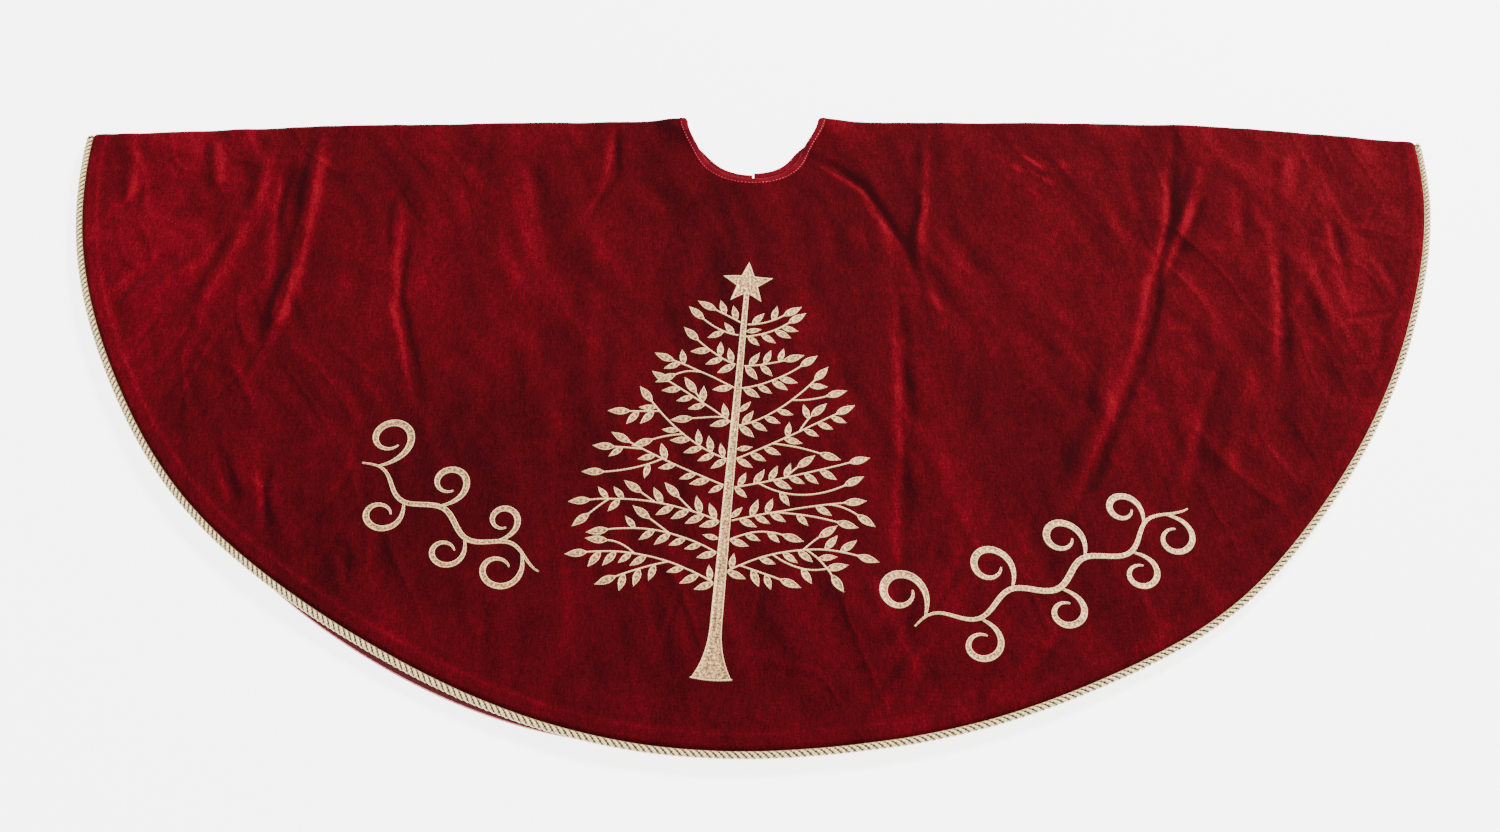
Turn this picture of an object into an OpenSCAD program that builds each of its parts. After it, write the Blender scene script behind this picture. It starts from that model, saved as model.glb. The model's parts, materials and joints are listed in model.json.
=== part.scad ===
// A round velvet tree skirt, folded in half on its trunk hole.
// Every layer is drawn lying open, velvet up, with the hole's centre on the Z axis.
// The two quarters behind the fold line are then turned under the front half.
// Units are millimetres.

/* [Skirt] */
// Outer diameter over the corded hem
skirt_d = 1220; // [1000:10:1500]
// Diameter of the trunk hole
hole_d = 124; // [100:2:160]
// Distance from the hole's centre back to the fold line
fold_offset = 6; // [3:1:10]
// Gap between the two edges of the back slit
slit_gap = 2; // [1:0.5:6]

/* [Cloth] */
// Thickness of the velvet with its pile
velvet_t = 1.5; // [1.2:0.1:2]
// Thickness of the wadding between velvet and lining
wadding_t = 2.5; // [2.5:0.1:3]
// Thickness of the lining
lining_t = 0.5; // [0.3:0.1:0.8]
// Width of the binding round the hole and down the slit
binding_w = 7; // [5:1:12]
// Width of velvet turned under at the hem
turning_w = 12; // [8:1:20]

/* [Trim] */
// Diameter of the twisted cord at the hem
cord_d = 6; // [5:0.5:9]
// Length of the thread-wrapped end of the cord at the slit
wrap_l = 10; // [6:1:20]
// Width of each hook or loop patch, across the slit edge
patch_w = 20; // [12:1:30]
// Length of each hook or loop patch, along the slit edge
patch_l = 50; // [25:5:80]
// Thickness of each hook or loop patch
patch_t = 1; // [0.6:0.1:1]

/* [Embroidery] */
// Height of the stitching above the velvet
thread_t = 0.8; // [0.4:0.1:1.5]
// Turn of the tree about the hole, in degrees
tree_turn = 4.2; // [0:0.2:8]
// Sideways shift of the tree's axis
tree_shift = 8; // [0:1:12]
// Distance from the hole's centre to the star's centre
star_v = 178; // [160:1:200]
// Radius to the star's points
star_r = 23; // [16:1:30]
// Distance from the hole's centre to the foot of the trunk
foot_v = 549; // [520:1:560]
// Length of an average leaf
leaf_l = 16.5; // [12:0.5:20]
// Width of an average leaf
leaf_w = 6.4; // [4:0.2:8]

/* [Hidden] */
$fn = 96;

velvet_red = [0.45, 0.02, 0.05];
binding_red = [0.6, 0.05, 0.09];
lining_red = [0.35, 0.02, 0.05];
wadding_white = [0.92, 0.91, 0.88];
gold = [0.86, 0.76, 0.52];
tape_gold = [0.78, 0.70, 0.50];
patch_red = [0.30, 0.03, 0.05];

cord_r = cord_d / 2;
cord_ring_r = skirt_d / 2 - cord_r;
edge_ease = 0.05;
panel_r = cord_ring_r - cord_r - edge_ease;
hole_r = hole_d / 2;
inner_r = hole_r + binding_w;
stack_t = velvet_t + wadding_t + lining_t;

// The outer faces of the folded cloth stand just clear of the cords, which lie one on the other.
cord_ease = 0.2;
cord_lift = cord_r + cord_ease;
fold_z = cord_lift + cord_r + cord_ease;
stack_lift = fold_z - stack_t;
lining_z = fold_z + stack_lift;
wadding_z = lining_z + lining_t;
velvet_z = wadding_z + wadding_t;
thread_z = velvet_z + velvet_t;
cord_z = fold_z + cord_lift;
// The tape fills the height that the turned-under velvet leaves over the lining.
tape_t = wadding_t - velvet_t;
// How far the tape's threads run into the cord they carry
tape_bite = 1;
// Bodies on the two sides of the fold stay this far apart.
body_gap = 0.3;
far = skirt_d;

patch_v = [130, 320, 510];

LEFT = -1;
RIGHT = 1;

// ---- placing ----

// Turns what is drawn open behind the fold line under the front half.
module folded_under() {
    translate([0, fold_offset, fold_z]) rotate([180, 0, 0])
        translate([0, -fold_offset, -fold_z]) children();
}

module ring(r_in, r_out, z, h) {
    translate([0, 0, z]) difference() {
        cylinder(r = r_out, h = h, $fn = 240);
        translate([0, 0, -1]) cylinder(r = r_in, h = h + 2, $fn = 240);
    }
}

// Keeps what lies in front of the fold line.
module front_part() {
    intersection() {
        children();
        translate([-far, fold_offset - 2 * far, -far]) cube([2 * far, 2 * far, 2 * far]);
    }
}

// Keeps what lies behind the fold line on one side, further than inset from the slit edge.
module back_part(side, inset = 0) {
    x = slit_gap / 2 + inset;
    intersection() {
        children();
        translate([side > 0 ? x : -x - far, fold_offset + body_gap, -far])
            cube([far, 2 * far, 2 * far]);
    }
}

// ---- cloth ----

// The face cloth, with its hem turned under.
module velvet_sheet() {
    ring(inner_r, panel_r, velvet_z, velvet_t);
    ring(panel_r - turning_w, panel_r, velvet_z - velvet_t, velvet_t);
}

module wadding_sheet() {
    ring(inner_r, panel_r - turning_w, wadding_z, wadding_t);
}

module lining_sheet() {
    ring(inner_r, panel_r, lining_z, lining_t);
}

module hole_band() {
    ring(hole_r, inner_r, lining_z, stack_t);
}

module front_velvet() { color(velvet_red) front_part() velvet_sheet(); }
module front_wadding() { color(wadding_white) front_part() wadding_sheet(); }
module front_lining() { color(lining_red) front_part() lining_sheet(); }
module front_hole_binding() { color(binding_red) front_part() hole_band(); }

module back_velvet(side, pockets = false) {
    color(velvet_red) folded_under() difference() {
        back_part(side, binding_w) velvet_sheet();
        if (pockets) patches(side, thread_z - patch_t, patch_t + 1);
    }
}

module back_wadding(side) {
    color(wadding_white) folded_under() back_part(side, binding_w) wadding_sheet();
}

module back_lining(side) {
    color(lining_red) folded_under() back_part(side, binding_w) lining_sheet();
}

module back_hole_binding(side) {
    color(binding_red) folded_under() back_part(side) hole_band();
}

// A straight band from the hole's binding to the hem.
module back_slit_binding(side) {
    color(binding_red) folded_under() intersection() {
        back_part(side) ring(inner_r, panel_r, lining_z, stack_t);
        translate([side > 0 ? 0 : -slit_gap / 2 - binding_w, 0, 0])
            cube([slit_gap / 2 + binding_w, far, far]);
    }
}

// The half-round roll where the cloth turns under at the fold.
module fold_roll(side) {
    outer_x = sqrt(panel_r * panel_r - fold_offset * fold_offset);
    color(velvet_red) translate([0, fold_offset, fold_z]) intersection() {
        translate([side * (hole_r + outer_x) / 2, 0, 0]) rotate([0, 90, 0]) difference() {
            cylinder(r = fold_z, h = outer_x - hole_r, center = true);
            cylinder(r = stack_lift, h = outer_x, center = true);
        }
        translate([-far, 0, -far]) cube([2 * far, far, 2 * far]);
    }
}

// ---- cord ----

module cord_ring() {
    translate([0, 0, cord_z]) rotate_extrude($fn = 240)
        translate([cord_ring_r, 0]) circle(r = cord_r, $fn = 32);
}

// The woven tape that the cord is carried on, caught in the hem seam.
module tape_ring() {
    ring(panel_r - turning_w, panel_r + tape_bite, wadding_z, tape_t);
}

module front_cord() { color(gold) front_part() cord_ring(); }
module front_cord_tape() { color(tape_gold) front_part() tape_ring(); }

module back_cord(side) {
    color(gold) folded_under() back_part(side, wrap_l) cord_ring();
}

module back_cord_tape(side) {
    color(tape_gold) folded_under() back_part(side, wrap_l) tape_ring();
}

// The cord's cut end, bound with thread and closed with a rounded tip.
module back_cord_end(side) {
    wrap_r = cord_r - 0.1;
    y = sqrt(pow(cord_ring_r, 2) - pow(slit_gap / 2 + wrap_l, 2));
    color(tape_gold) folded_under()
        translate([side * (slit_gap / 2 + wrap_l), y, cord_z]) rotate([0, -side * 90, 0])
            rotate_extrude($fn = 32) polygon([
                [0, 0], [wrap_r, 0], [wrap_r, wrap_l - 2], [wrap_r - 0.6, wrap_l - 0.6],
                [wrap_r - 2, wrap_l], [0, wrap_l]
            ]);
}

// Where the cord turns under with the cloth at the end of the fold.
module cord_turn(side) {
    x = side * sqrt(pow(cord_ring_r, 2) - pow(fold_offset, 2));
    color(gold) translate([x, fold_offset, fold_z]) intersection() {
        rotate([0, 90, 0]) rotate_extrude($fn = 48)
            translate([cord_lift, 0]) circle(r = cord_r, $fn = 32);
        translate([-far, 0, -far]) cube([2 * far, far, 2 * far]);
    }
}

// ---- slit closure ----

// Three patches along one edge of the slit, beside its binding.
module patches(side, z, h) {
    x = slit_gap / 2 + binding_w;
    for (v = patch_v)
        translate([side > 0 ? x : -x - patch_w, v, z]) cube([patch_w, patch_l, h]);
}

module hook_patches() { color(patch_red) folded_under() patches(LEFT, thread_z - patch_t, patch_t); }
module loop_patches() { color(patch_red) folded_under() patches(RIGHT, lining_z - patch_t, patch_t); }

// ---- embroidery ----

// A repeatable number from 0 to 1 for each seed
function chance(seed) = let (n = sin(seed * 77.7) * 431.7) n - floor(n);

function mix(a, b, t) = a + (b - a) * t;

// Places a drawing made with its foot away from the hole into the tree's frame.
module in_tree_frame() {
    translate([tree_shift, 0, thread_z]) rotate([0, 0, -tree_turn]) children();
}

// Outline of the star, centred on the tree's axis
star_points = [for (i = [0:9]) let (r = i % 2 == 0 ? star_r : star_r * 0.42, a = 90 + 36 * i)
    [r * cos(a), r * sin(a) - star_v]];

trunk_top_v = star_v + star_r * 0.4;
flare_v = foot_v - 52;
trunk_top_w = 4.4;
trunk_low_w = 9.5;
foot_w = 32;

// Width of the trunk at distance v from the hole's centre, which flares at the foot
function trunk_w(v) = v < flare_v
    ? mix(trunk_top_w, trunk_low_w, (v - trunk_top_v) / (flare_v - trunk_top_v))
    : mix(trunk_low_w, foot_w, pow((v - flare_v) / (foot_v - flare_v), 2.6));

module trunk_outline() {
    steps = concat([trunk_top_v, flare_v], [for (i = [1:8]) mix(flare_v, foot_v - 3, i / 8)]);
    right = [for (v = steps) [trunk_w(v) / 2, -v]];
    foot = [for (i = [3:-1:-3]) [foot_w / 2 * sin(i * 25), -foot_v + 1.5 * pow(i / 3, 2)]];
    left = [for (i = [len(steps) - 1:-1:0]) [-trunk_w(steps[i]) / 2, -steps[i]]];
    polygon(concat(right, foot, left));
}

module star_embroidery() {
    color(gold) in_tree_frame() linear_extrude(thread_t) polygon(star_points);
}

module trunk_embroidery() {
    color(gold) in_tree_frame() linear_extrude(thread_t) difference() {
        trunk_outline();
        polygon(star_points);
    }
}

stem_w = 1.6;
leaf_step = 6.5;
// Leaves keep this far from each other, and this far from every stem.
leaf_gap = 7.2;
stem_gap = 3.3;
// A leaf's tip stays this far from the trunk's axis.
trunk_gap = 8;

// Branches from the top down: how far from the hole's centre each leaves the trunk, its reach,
// and the heights of its middle and of its tip above where it leaves
left_branches = [
    [221, 25, 8, 14], [232, 35, 0, 15], [263, 38, 6, 24], [286, 57, 14, 25], [321, 59, 21, 39],
    [355, 72, 9, 54], [380, 86, 15, 37], [414, 113, 24, 13], [443, 95, 28, 16], [470, 110, 33, 21]
];
right_branches = [
    [221, 34, 0, 12], [233, 39, 1, 17], [263, 37, 1, 8], [285, 52, 3, 26], [322, 65, 7, 51],
    [355, 85, 23, 51], [381, 98, 13, 31], [412, 96, 16, 24], [431, 47, 17, 10], [459, 109, 37, 23]
];
// Twigs: the branch, how far along it, the twig's reach, and the heights of its middle and its tip
left_twigs = [
    [3, 0.55, 22, 2, -4], [4, 0.48, 6, 5, 9], [4, 0.16, 26, -1, -3], [5, 0.87, 25, -1, -2],
    [5, 0.57, 25, -1, -7], [6, 0.85, 23, 0, 0], [6, 0.65, 47, -14, -16], [7, 0.84, 15, -7, -15],
    [7, 0.51, 12, 4, 8], [7, 0.24, 12, 6, 12], [8, 0.46, 17, 6, 12], [9, 0.63, 23, 10, 10],
    [9, 0.38, 41, -6, -17]
];
right_twigs = [
    [4, 0.7, 29, 0, 6], [5, 0.63, 9, 10, 15], [5, 0.38, 40, -1, -7], [6, 0.46, 9, 6, 10],
    [6, 0.24, 71, -19, 3], [7, 0.4, 51, 0, -6], [7, 0.84, 24, 0, -8], [9, 0.58, 12, 7, 12],
    [9, 0.36, 44, -16, -10], [9, 0.6, 22, -6, -22], [9, 0.13, 33, -5, -11]
];

function branches(side) = side > 0 ? right_branches : left_branches;
function twigs(side) = side > 0 ? right_twigs : left_twigs;

// A stem is a curve with a foot, a middle point that it leans towards, and a tip.
function stem_from(foot, reach, middle, rise) = [foot, foot + [reach / 2, middle], foot + [reach, rise]];
function on_stem(s, t) = s[0] * (1 - t) * (1 - t) + s[1] * 2 * t * (1 - t) + s[2] * t * t;
function heading(s, t) = let (d = (s[1] - s[0]) * (1 - t) + (s[2] - s[1]) * t) atan2(d[1], d[0]);
function main_stems(side) = [for (b = branches(side)) stem_from([0, -b[0]], b[1], b[2], b[3])];
function stems(side) = let (main = main_stems(side)) concat(main,
    [for (w = twigs(side)) stem_from(on_stem(main[w[0]], w[1]), w[2], w[3], w[4])]);

// A leaf is its foot's x and y, its direction and its length.
function leaf_spot(leaf, t) = [leaf[0], leaf[1]] + leaf[3] * t * [cos(leaf[2]), sin(leaf[2])];
function leaf_spots(leaf) = [for (t = [0.3, 0.65, 1]) leaf_spot(leaf, t)];
function near(p, spots, gap) = len([for (q = spots) if (norm(p - q) < gap) 1]) > 0;
function fits(leaf, leaves, stems) = leaf_spot(leaf, 1)[0] > trunk_gap
    && len([for (p = leaf_spots(leaf)) if (near(p, leaves, leaf_gap)) 1]) == 0
    && len([for (t = [0.6, 1]) if (near(leaf_spot(leaf, t), stems, stem_gap)) 1]) == 0;
// Keeps each leaf that has room beside the ones before it.
function grow(leaves, stems, taken, i = 0, kept = []) = i == len(leaves) ? kept
    : fits(leaves[i], taken, stems)
        ? grow(leaves, stems, concat(taken, leaf_spots(leaves[i])), i + 1, concat(kept, [leaves[i]]))
        : grow(leaves, stems, taken, i + 1, kept);

function tip_leaves(stems) = [for (s = stems)
    let (p = on_stem(s, 0.97)) [p[0], p[1], heading(s, 1), leaf_l * 1.12]];

function side_leaves(stems) = [for (i = [0:len(stems) - 1])
    let (s = stems[i], n = ceil(norm(s[2] - s[0]) / leaf_step))
    for (k = [1:n - 1], edge = [1, -1])
        let (seed = 40 * i + 3 * k + edge, t = (k + 0.25 * edge) / n, p = on_stem(s, t))
        [p[0], p[1], heading(s, t) + edge * mix(40, 58, chance(seed)),
            leaf_l * mix(0.84, 1.05, chance(seed + 0.5))]];

// Leaves that grow straight from the trunk wherever there is room
function trunk_leaves() = [for (v = [first_leaf_v:4:last_leaf_v], a = [12, 30, 50])
    [trunk_w(v) / 2, -v, a, leaf_l * 0.8]];
first_leaf_v = 228;
last_leaf_v = 470;

function stem_points(stems) = [for (s = stems, k = [0:24]) on_stem(s, k / 24)];

// A line of stitching of one width through the points
module stem(points, w) {
    n = len(points) - 1;
    side = [for (i = [0:n]) let (d = points[min(i + 1, n)] - points[max(i - 1, 0)])
        [-d[1], d[0]] / norm(d)];
    polygon(concat(
        [for (i = [0:n]) points[i] + side[i] * w / 2],
        [for (i = [n:-1:0]) points[i] - side[i] * w / 2]
    ));
}

// Half the width of a leaf at t of its length
function leaf_half(t) = leaf_w / 2 * sin(180 * pow(t, 0.85));

module leaf_shape(leaf) {
    l = leaf[3];
    translate([leaf[0], leaf[1]]) rotate(leaf[2]) polygon(concat(
        [for (i = [0:4]) [l * i / 4, leaf_half(i / 4) * l / leaf_l]],
        [for (i = [3:-1:1]) [l * i / 4, -leaf_half(i / 4) * l / leaf_l]]
    ));
}

module branch_embroidery(side) {
    stems = stems(side);
    tips = tip_leaves(stems);
    taken = [for (tip = tips) each leaf_spots(tip)];
    more = concat(side_leaves(stems), trunk_leaves());
    color(gold) in_tree_frame() scale([side, 1, 1]) linear_extrude(thread_t) difference() {
        union() {
            for (s = stems) stem([for (k = [0:8]) on_stem(s, k / 8)], stem_w);
            for (leaf = concat(tips, grow(more, stem_points(stems), taken))) leaf_shape(leaf);
        }
        trunk_outline();
        polygon(star_points);
    }
}

// A scroll stroke that starts at a point in direction a and winds up as it goes
function scroll_line(at, a, l, wind, n) = [
    for (i = 0, p = at, h = a; i <= n;
        i = i + 1, h = a + wind * pow(i / n, 1.5), p = p + l / n * [cos(h), sin(h)]) p];

// A stroke whose width swells in the middle, as a pen's does
module swelling_stroke(points, w) {
    n = len(points) - 1;
    half = [for (i = [0:n]) mix(0.7, w / 2, pow(sin(180 * i / n), 0.8))];
    side = [for (i = [0:n]) let (d = points[min(i + 1, n)] - points[max(i - 1, 0)])
        [-d[1], d[0]] / norm(d)];
    polygon(concat(
        [for (i = [0:n]) points[i] + side[i] * half[i]],
        [for (i = [n:-1:0]) points[i] - side[i] * half[i]]
    ));
}

// Each curl: distance along the scroll, start angle, length, wind and width
left_curls = [
    [12, 58, 118, 395, 6.5], [52, -52, 84, -370, 5.5], [78, 48, 96, 380, 6],
    [112, -50, 78, -370, 5], [136, 44, 80, 375, 5.5], [160, -56, 92, -360, 5.5]
];
right_curls = [
    [10, 60, 112, 395, 7], [50, -50, 84, -370, 5.5], [84, 50, 100, 380, 6],
    [118, -48, 80, -370, 5.5], [150, 48, 92, 380, 6], [184, -50, 76, -370, 5],
    [208, 44, 78, 375, 5.5], [228, -56, 82, -360, 5]
];
wave_l = 66;
wave_h = 7;

// Bends a scroll drawn along a straight line onto an arc round the hole.
function on_arc(p, r, mid) = let (a = mid + p[0] / r * 180 / PI) [(r - p[1]) * cos(a), (r - p[1]) * sin(a)];
function wave(x) = [x, wave_h * sin(x / wave_l * 360)];

module scroll(curls, l, r, mid) {
    line = [for (i = [0:24]) wave(l * i / 24)];
    swelling_stroke([for (p = line) on_arc(p - [l / 2, 0], r, mid)], 5);
    for (c = curls) {
        start = wave(c[0]);
        points = scroll_line(start, c[1], c[2], c[3], 20);
        swelling_stroke([for (p = points) on_arc(p - [l / 2, 0], r, mid)], c[4]);
    }
}

left_scroll_l = 180;
left_scroll_r = 482;
left_scroll_mid = -121;
right_scroll_l = 246;
right_scroll_r = 518;
right_scroll_mid = -62.5;

module left_scroll_embroidery() {
    color(gold) translate([0, 0, thread_z]) linear_extrude(thread_t)
        scroll(left_curls, left_scroll_l, left_scroll_r, left_scroll_mid);
}

module right_scroll_embroidery() {
    color(gold) translate([0, 0, thread_z]) linear_extrude(thread_t)
        scroll(right_curls, right_scroll_l, right_scroll_r, right_scroll_mid);
}

// ---- nodes ----

front_velvet();
front_wadding();
front_lining();
front_hole_binding();
front_cord();
front_cord_tape();
fold_roll(LEFT);  // left_fold
fold_roll(RIGHT);  // right_fold
cord_turn(LEFT);  // left_cord_turn
cord_turn(RIGHT);  // right_cord_turn
star_embroidery();
trunk_embroidery();
branch_embroidery(LEFT);  // left_branch_embroidery
branch_embroidery(RIGHT);  // right_branch_embroidery
left_scroll_embroidery();
right_scroll_embroidery();
back_velvet(LEFT, pockets = true);  // back_left_velvet
back_wadding(LEFT);  // back_left_wadding
back_lining(LEFT);  // back_left_lining
back_hole_binding(LEFT);  // back_left_hole_binding
back_slit_binding(LEFT);  // back_left_slit_binding
back_cord(LEFT);  // back_left_cord
back_cord_tape(LEFT);  // back_left_cord_tape
back_cord_end(LEFT);  // back_left_cord_end
hook_patches();  // back_left_hook_patches
back_velvet(RIGHT);  // back_right_velvet
back_wadding(RIGHT);  // back_right_wadding
back_lining(RIGHT);  // back_right_lining
back_hole_binding(RIGHT);  // back_right_hole_binding
back_slit_binding(RIGHT);  // back_right_slit_binding
back_cord(RIGHT);  // back_right_cord
back_cord_tape(RIGHT);  // back_right_cord_tape
back_cord_end(RIGHT);  // back_right_cord_end
loop_patches();  // back_right_loop_patches
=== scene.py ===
"""A velvet tree skirt lying folded in half: cloth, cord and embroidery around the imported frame."""

import json
import math

import bpy
import numpy as np
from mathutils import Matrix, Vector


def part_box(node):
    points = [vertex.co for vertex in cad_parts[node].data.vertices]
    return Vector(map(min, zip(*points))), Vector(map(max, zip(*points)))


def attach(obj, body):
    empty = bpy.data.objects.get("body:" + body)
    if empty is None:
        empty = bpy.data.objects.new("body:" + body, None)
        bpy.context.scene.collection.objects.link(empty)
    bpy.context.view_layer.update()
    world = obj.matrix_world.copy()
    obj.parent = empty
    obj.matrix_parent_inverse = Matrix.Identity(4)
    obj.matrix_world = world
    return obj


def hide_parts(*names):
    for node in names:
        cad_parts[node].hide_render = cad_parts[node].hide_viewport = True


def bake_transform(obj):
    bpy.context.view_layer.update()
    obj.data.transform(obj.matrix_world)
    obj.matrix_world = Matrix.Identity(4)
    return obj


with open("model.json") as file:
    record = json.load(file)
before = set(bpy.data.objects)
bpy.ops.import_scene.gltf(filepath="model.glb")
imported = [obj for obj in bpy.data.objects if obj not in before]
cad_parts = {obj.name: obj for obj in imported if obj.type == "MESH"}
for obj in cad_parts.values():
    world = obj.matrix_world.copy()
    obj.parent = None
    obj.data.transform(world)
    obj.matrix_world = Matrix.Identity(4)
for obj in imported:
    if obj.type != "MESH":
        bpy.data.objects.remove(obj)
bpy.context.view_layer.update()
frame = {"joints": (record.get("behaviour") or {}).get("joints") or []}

MM = 0.001

# ---- sizes from the frame, in metres ----

velvet_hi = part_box("front_velvet")[1]
HEM_R = velvet_hi.x
TOP_Z = velvet_hi.z
LINING_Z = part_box("front_lining")[0].z
STACK = TOP_Z - LINING_Z
FOLD_Y, AXIS_Z = frame["joints"][0]["pos_m"][1:]
BAND_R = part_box("front_hole_binding")[1].x
SLIT_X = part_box("back_right_slit_binding")[0].x
BAND_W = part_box("back_right_slit_binding")[1].x - SLIT_X
HOLE_R = BAND_R - BAND_W
CORD_LO, CORD_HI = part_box("front_cord")
CORD_R = (CORD_HI.z - CORD_LO.z) / 2
CORD_Z = (CORD_HI.z + CORD_LO.z) / 2
CORD_RING = CORD_HI.x - CORD_R
WRAP_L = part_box("back_right_cord_end")[1].x - SLIT_X
THREAD_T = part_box("star_embroidery")[1].z - TOP_Z

FRONT = "front_half"
BACK = {-1: "back_left", 1: "back_right"}
SIDES = {-1: "left", 1: "right"}


# ---- small maths ----


def smooth(t):
    """0 before 0, 1 after 1, and an even S between them."""
    t = np.clip(t, 0, 1)
    return t * t * (3 - 2 * t)


def noise(x, y, seed):
    """Smooth, repeatable noise from -1 to 1, with one random value for each whole number of x and y."""
    table = np.random.default_rng(seed).uniform(-1, 1, (128, 128))
    xi, yi = np.floor(x).astype(int), np.floor(y).astype(int)
    u, v = smooth(x - xi), smooth(y - yi)
    a, b = table[xi % 128, yi % 128], table[(xi + 1) % 128, yi % 128]
    c, d = table[xi % 128, (yi + 1) % 128], table[(xi + 1) % 128, (yi + 1) % 128]
    return (a + (b - a) * u) * (1 - v) + (c + (d - c) * u) * v


def to_segment(x, y, a, b):
    """Distance to the segment from a to b, and how far along it, from 0 to 1."""
    dx, dy = b[0] - a[0], b[1] - a[1]
    t = np.clip(((x - a[0]) * dx + (y - a[1]) * dy) / (dx * dx + dy * dy), 0, 1)
    return np.hypot(x - a[0] - t * dx, y - a[1] - t * dy), t


def to_path(x, y, path):
    """Distance to the nearest segment of a path, and how far along the whole path."""
    best, along = np.full(np.shape(x), np.inf), np.zeros(np.shape(x))
    steps = [math.dist(a, b) for a, b in zip(path, path[1:])]
    done = 0
    for a, b, step in zip(path, path[1:], steps):
        d, t = to_segment(x, y, a, b)
        nearer = d < best
        best = np.where(nearer, d, best)
        along = np.where(nearer, (done + t * step) / sum(steps), along)
        done += step
    return best, along


# ---- how the cloth lies ----

# Creases of the front half: points in millimetres, width and height in millimetres.
# A negative height is a valley.
CREASES = [
    ([(-394, 6), (-398, -90), (-402, -160), (-412, -230), (-432, -285)], 11, 3.6),
    ([(-418, -20), (-422, -90), (-416, -175)], 8, -2.2),
    ([(-440, -5), (-444, -80), (-462, -140), (-482, -205), (-472, -235)], 11, 3.0),
    ([(-458, -100), (-500, -165), (-540, -200)], 12, 2.6),
    ([(-492, 0), (-480, -70)], 10, 2.0),
    ([(-566, -5), (-558, -85)], 11, 2.6),
    ([(-545, -60), (-580, -115)], 8, -2.4),
    ([(-562, -205), (-530, -160), (-505, -140)], 9, -2.4),
    ([(-500, -300), (-482, -270), (-468, -215)], 9, -2.4),
    ([(-318, -80), (-314, -140)], 7, 1.8),
    ([(-308, -110), (-304, -200), (-278, -300)], 7, -1.8),
    ([(-125, 6), (-126, -60), (-146, -105)], 7, -2.0),
    ([(-240, 0), (-252, -60)], 9, -1.2),
    ([(-142, -100), (-140, -320)], 14, 1.2),
    ([(-478, -320), (-458, -405)], 7, -1.8),
    ([(-440, -340), (-418, -405)], 7, -1.6),
    ([(-402, -355), (-392, -430)], 7, -1.4),
    ([(-330, -440), (-318, -505)], 7, -1.2),
    ([(-212, -490), (-206, -560)], 7, -1.2),
    ([(384, 0), (370, -100), (350, -170), (338, -215), (310, -290), (275, -360), (238, -425)], 8, -3.4),
    ([(402, -40), (384, -95), (372, -130)], 11, 3.2),
    ([(404, -75), (376, -130), (352, -185)], 10, -2.6),
    ([(302, -240), (286, -310), (250, -370)], 12, 2.4),
    ([(398, -250), (370, -320), (344, -395)], 9, -2.6),
    ([(418, -260), (392, -330), (372, -380)], 12, 2.0),
    ([(436, -50), (430, -140)], 8, -1.8),
    ([(462, -110), (456, -200), (444, -290)], 9, -2.2),
    ([(480, -20), (470, -90)], 11, 2.0),
    ([(62, -40), (100, -75), (138, -150)], 8, -2.0),
    ([(125, -150), (126, -300), (114, -470)], 9, -2.0),
    ([(155, 6), (150, -90), (141, -140), (158, -225)], 8, 2.2),
    ([(512, -100), (516, -165)], 8, -2.2),
    ([(548, -145), (562, -195)], 6, -2.4),
    ([(508, -216), (560, -205)], 5, -2.4),
    ([(506, -266), (540, -254)], 5, -2.2),
    ([(542, -212), (530, -258)], 6, -2.0),
    ([(10, -582), (60, -545), (112, -500)], 11, -2.8),
    ([(72, -598), (100, -560), (135, -515)], 9, 3.0),
    ([(95, -600), (140, -565), (195, -530)], 8, -2.4),
    ([(196, -560), (222, -525), (246, -498)], 8, -2.6),
    ([(150, -590), (185, -555)], 8, 2.0),
    ([(332, -478), (352, -446)], 7, -1.8),
    ([(362, -424), (410, -398)], 7, -2.0),
    ([(398, -444), (446, -398)], 6, -2.0),
    ([(-30, -600), (40, -560), (90, -540)], 14, 2.4),
]
# Pile crushed the wrong way: centre and reach in millimetres
CRUSHED = (258, -48, 34)
# How far the ends of the fold line sag towards the hem
SAG = {-1: 11 * MM, 1: 20 * MM}
# How far the fold line lies in front of its drawn place, and how far the hole's corners do
DIP = 1.5 * MM
EAR_DIP = 5 * MM
PUFF = 4.5 * MM
SEAM_W = 16 * MM
LIP_REACH, LIP_Z = 7 * MM, AXIS_Z + 0.5 * MM
# How far the hole's sides are drawn in, how far they spread at the fold, and how far the back layer
# shows inside the hole on each side
NIP = {-1: 7.0 * MM, 1: 10.5 * MM}
NIP_SPREAD = 1.5 * MM
PEEK = {-1: 1.6 * MM, 1: 3.6 * MM}
CREASE_W, CREASE_H = 0.68, 0.95


def sag(x, y):
    """How far the cloth near the fold line is drawn towards the hem."""
    left = SAG[-1] * np.clip((-x - 0.10) / (HEM_R - 0.10), 0, 1) ** 1.8
    right = SAG[1] * np.clip((x - 0.16) / (HEM_R - 0.16), 0, 1) ** 2.7
    dip = DIP * smooth((np.abs(x) - HOLE_R) / 0.05) + EAR_DIP
    return (left + right) * smooth((y + 0.22) / (FOLD_Y + 0.22)) + dip * smooth((y + 0.05) / (FOLD_Y + 0.05))


def hem_wander(angle):
    """How far the hem wanders from its circle. The angle is that of the plan, -90 degrees at the front."""
    a = np.degrees(angle)
    a = np.where(a > 90, a - 360, a)
    bumps = [(-152, 10, -3.5), (-122, 17, -11.0), (-84, 9, -2.5), (-53, 9, 6.0), (-27, 15, -3.5)]
    out = sum(h * np.exp(-(((a - mid) / reach) ** 2)) for mid, reach, h in bumps)
    return out * MM * smooth(np.minimum(-a, a + 180) / 12)


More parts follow.
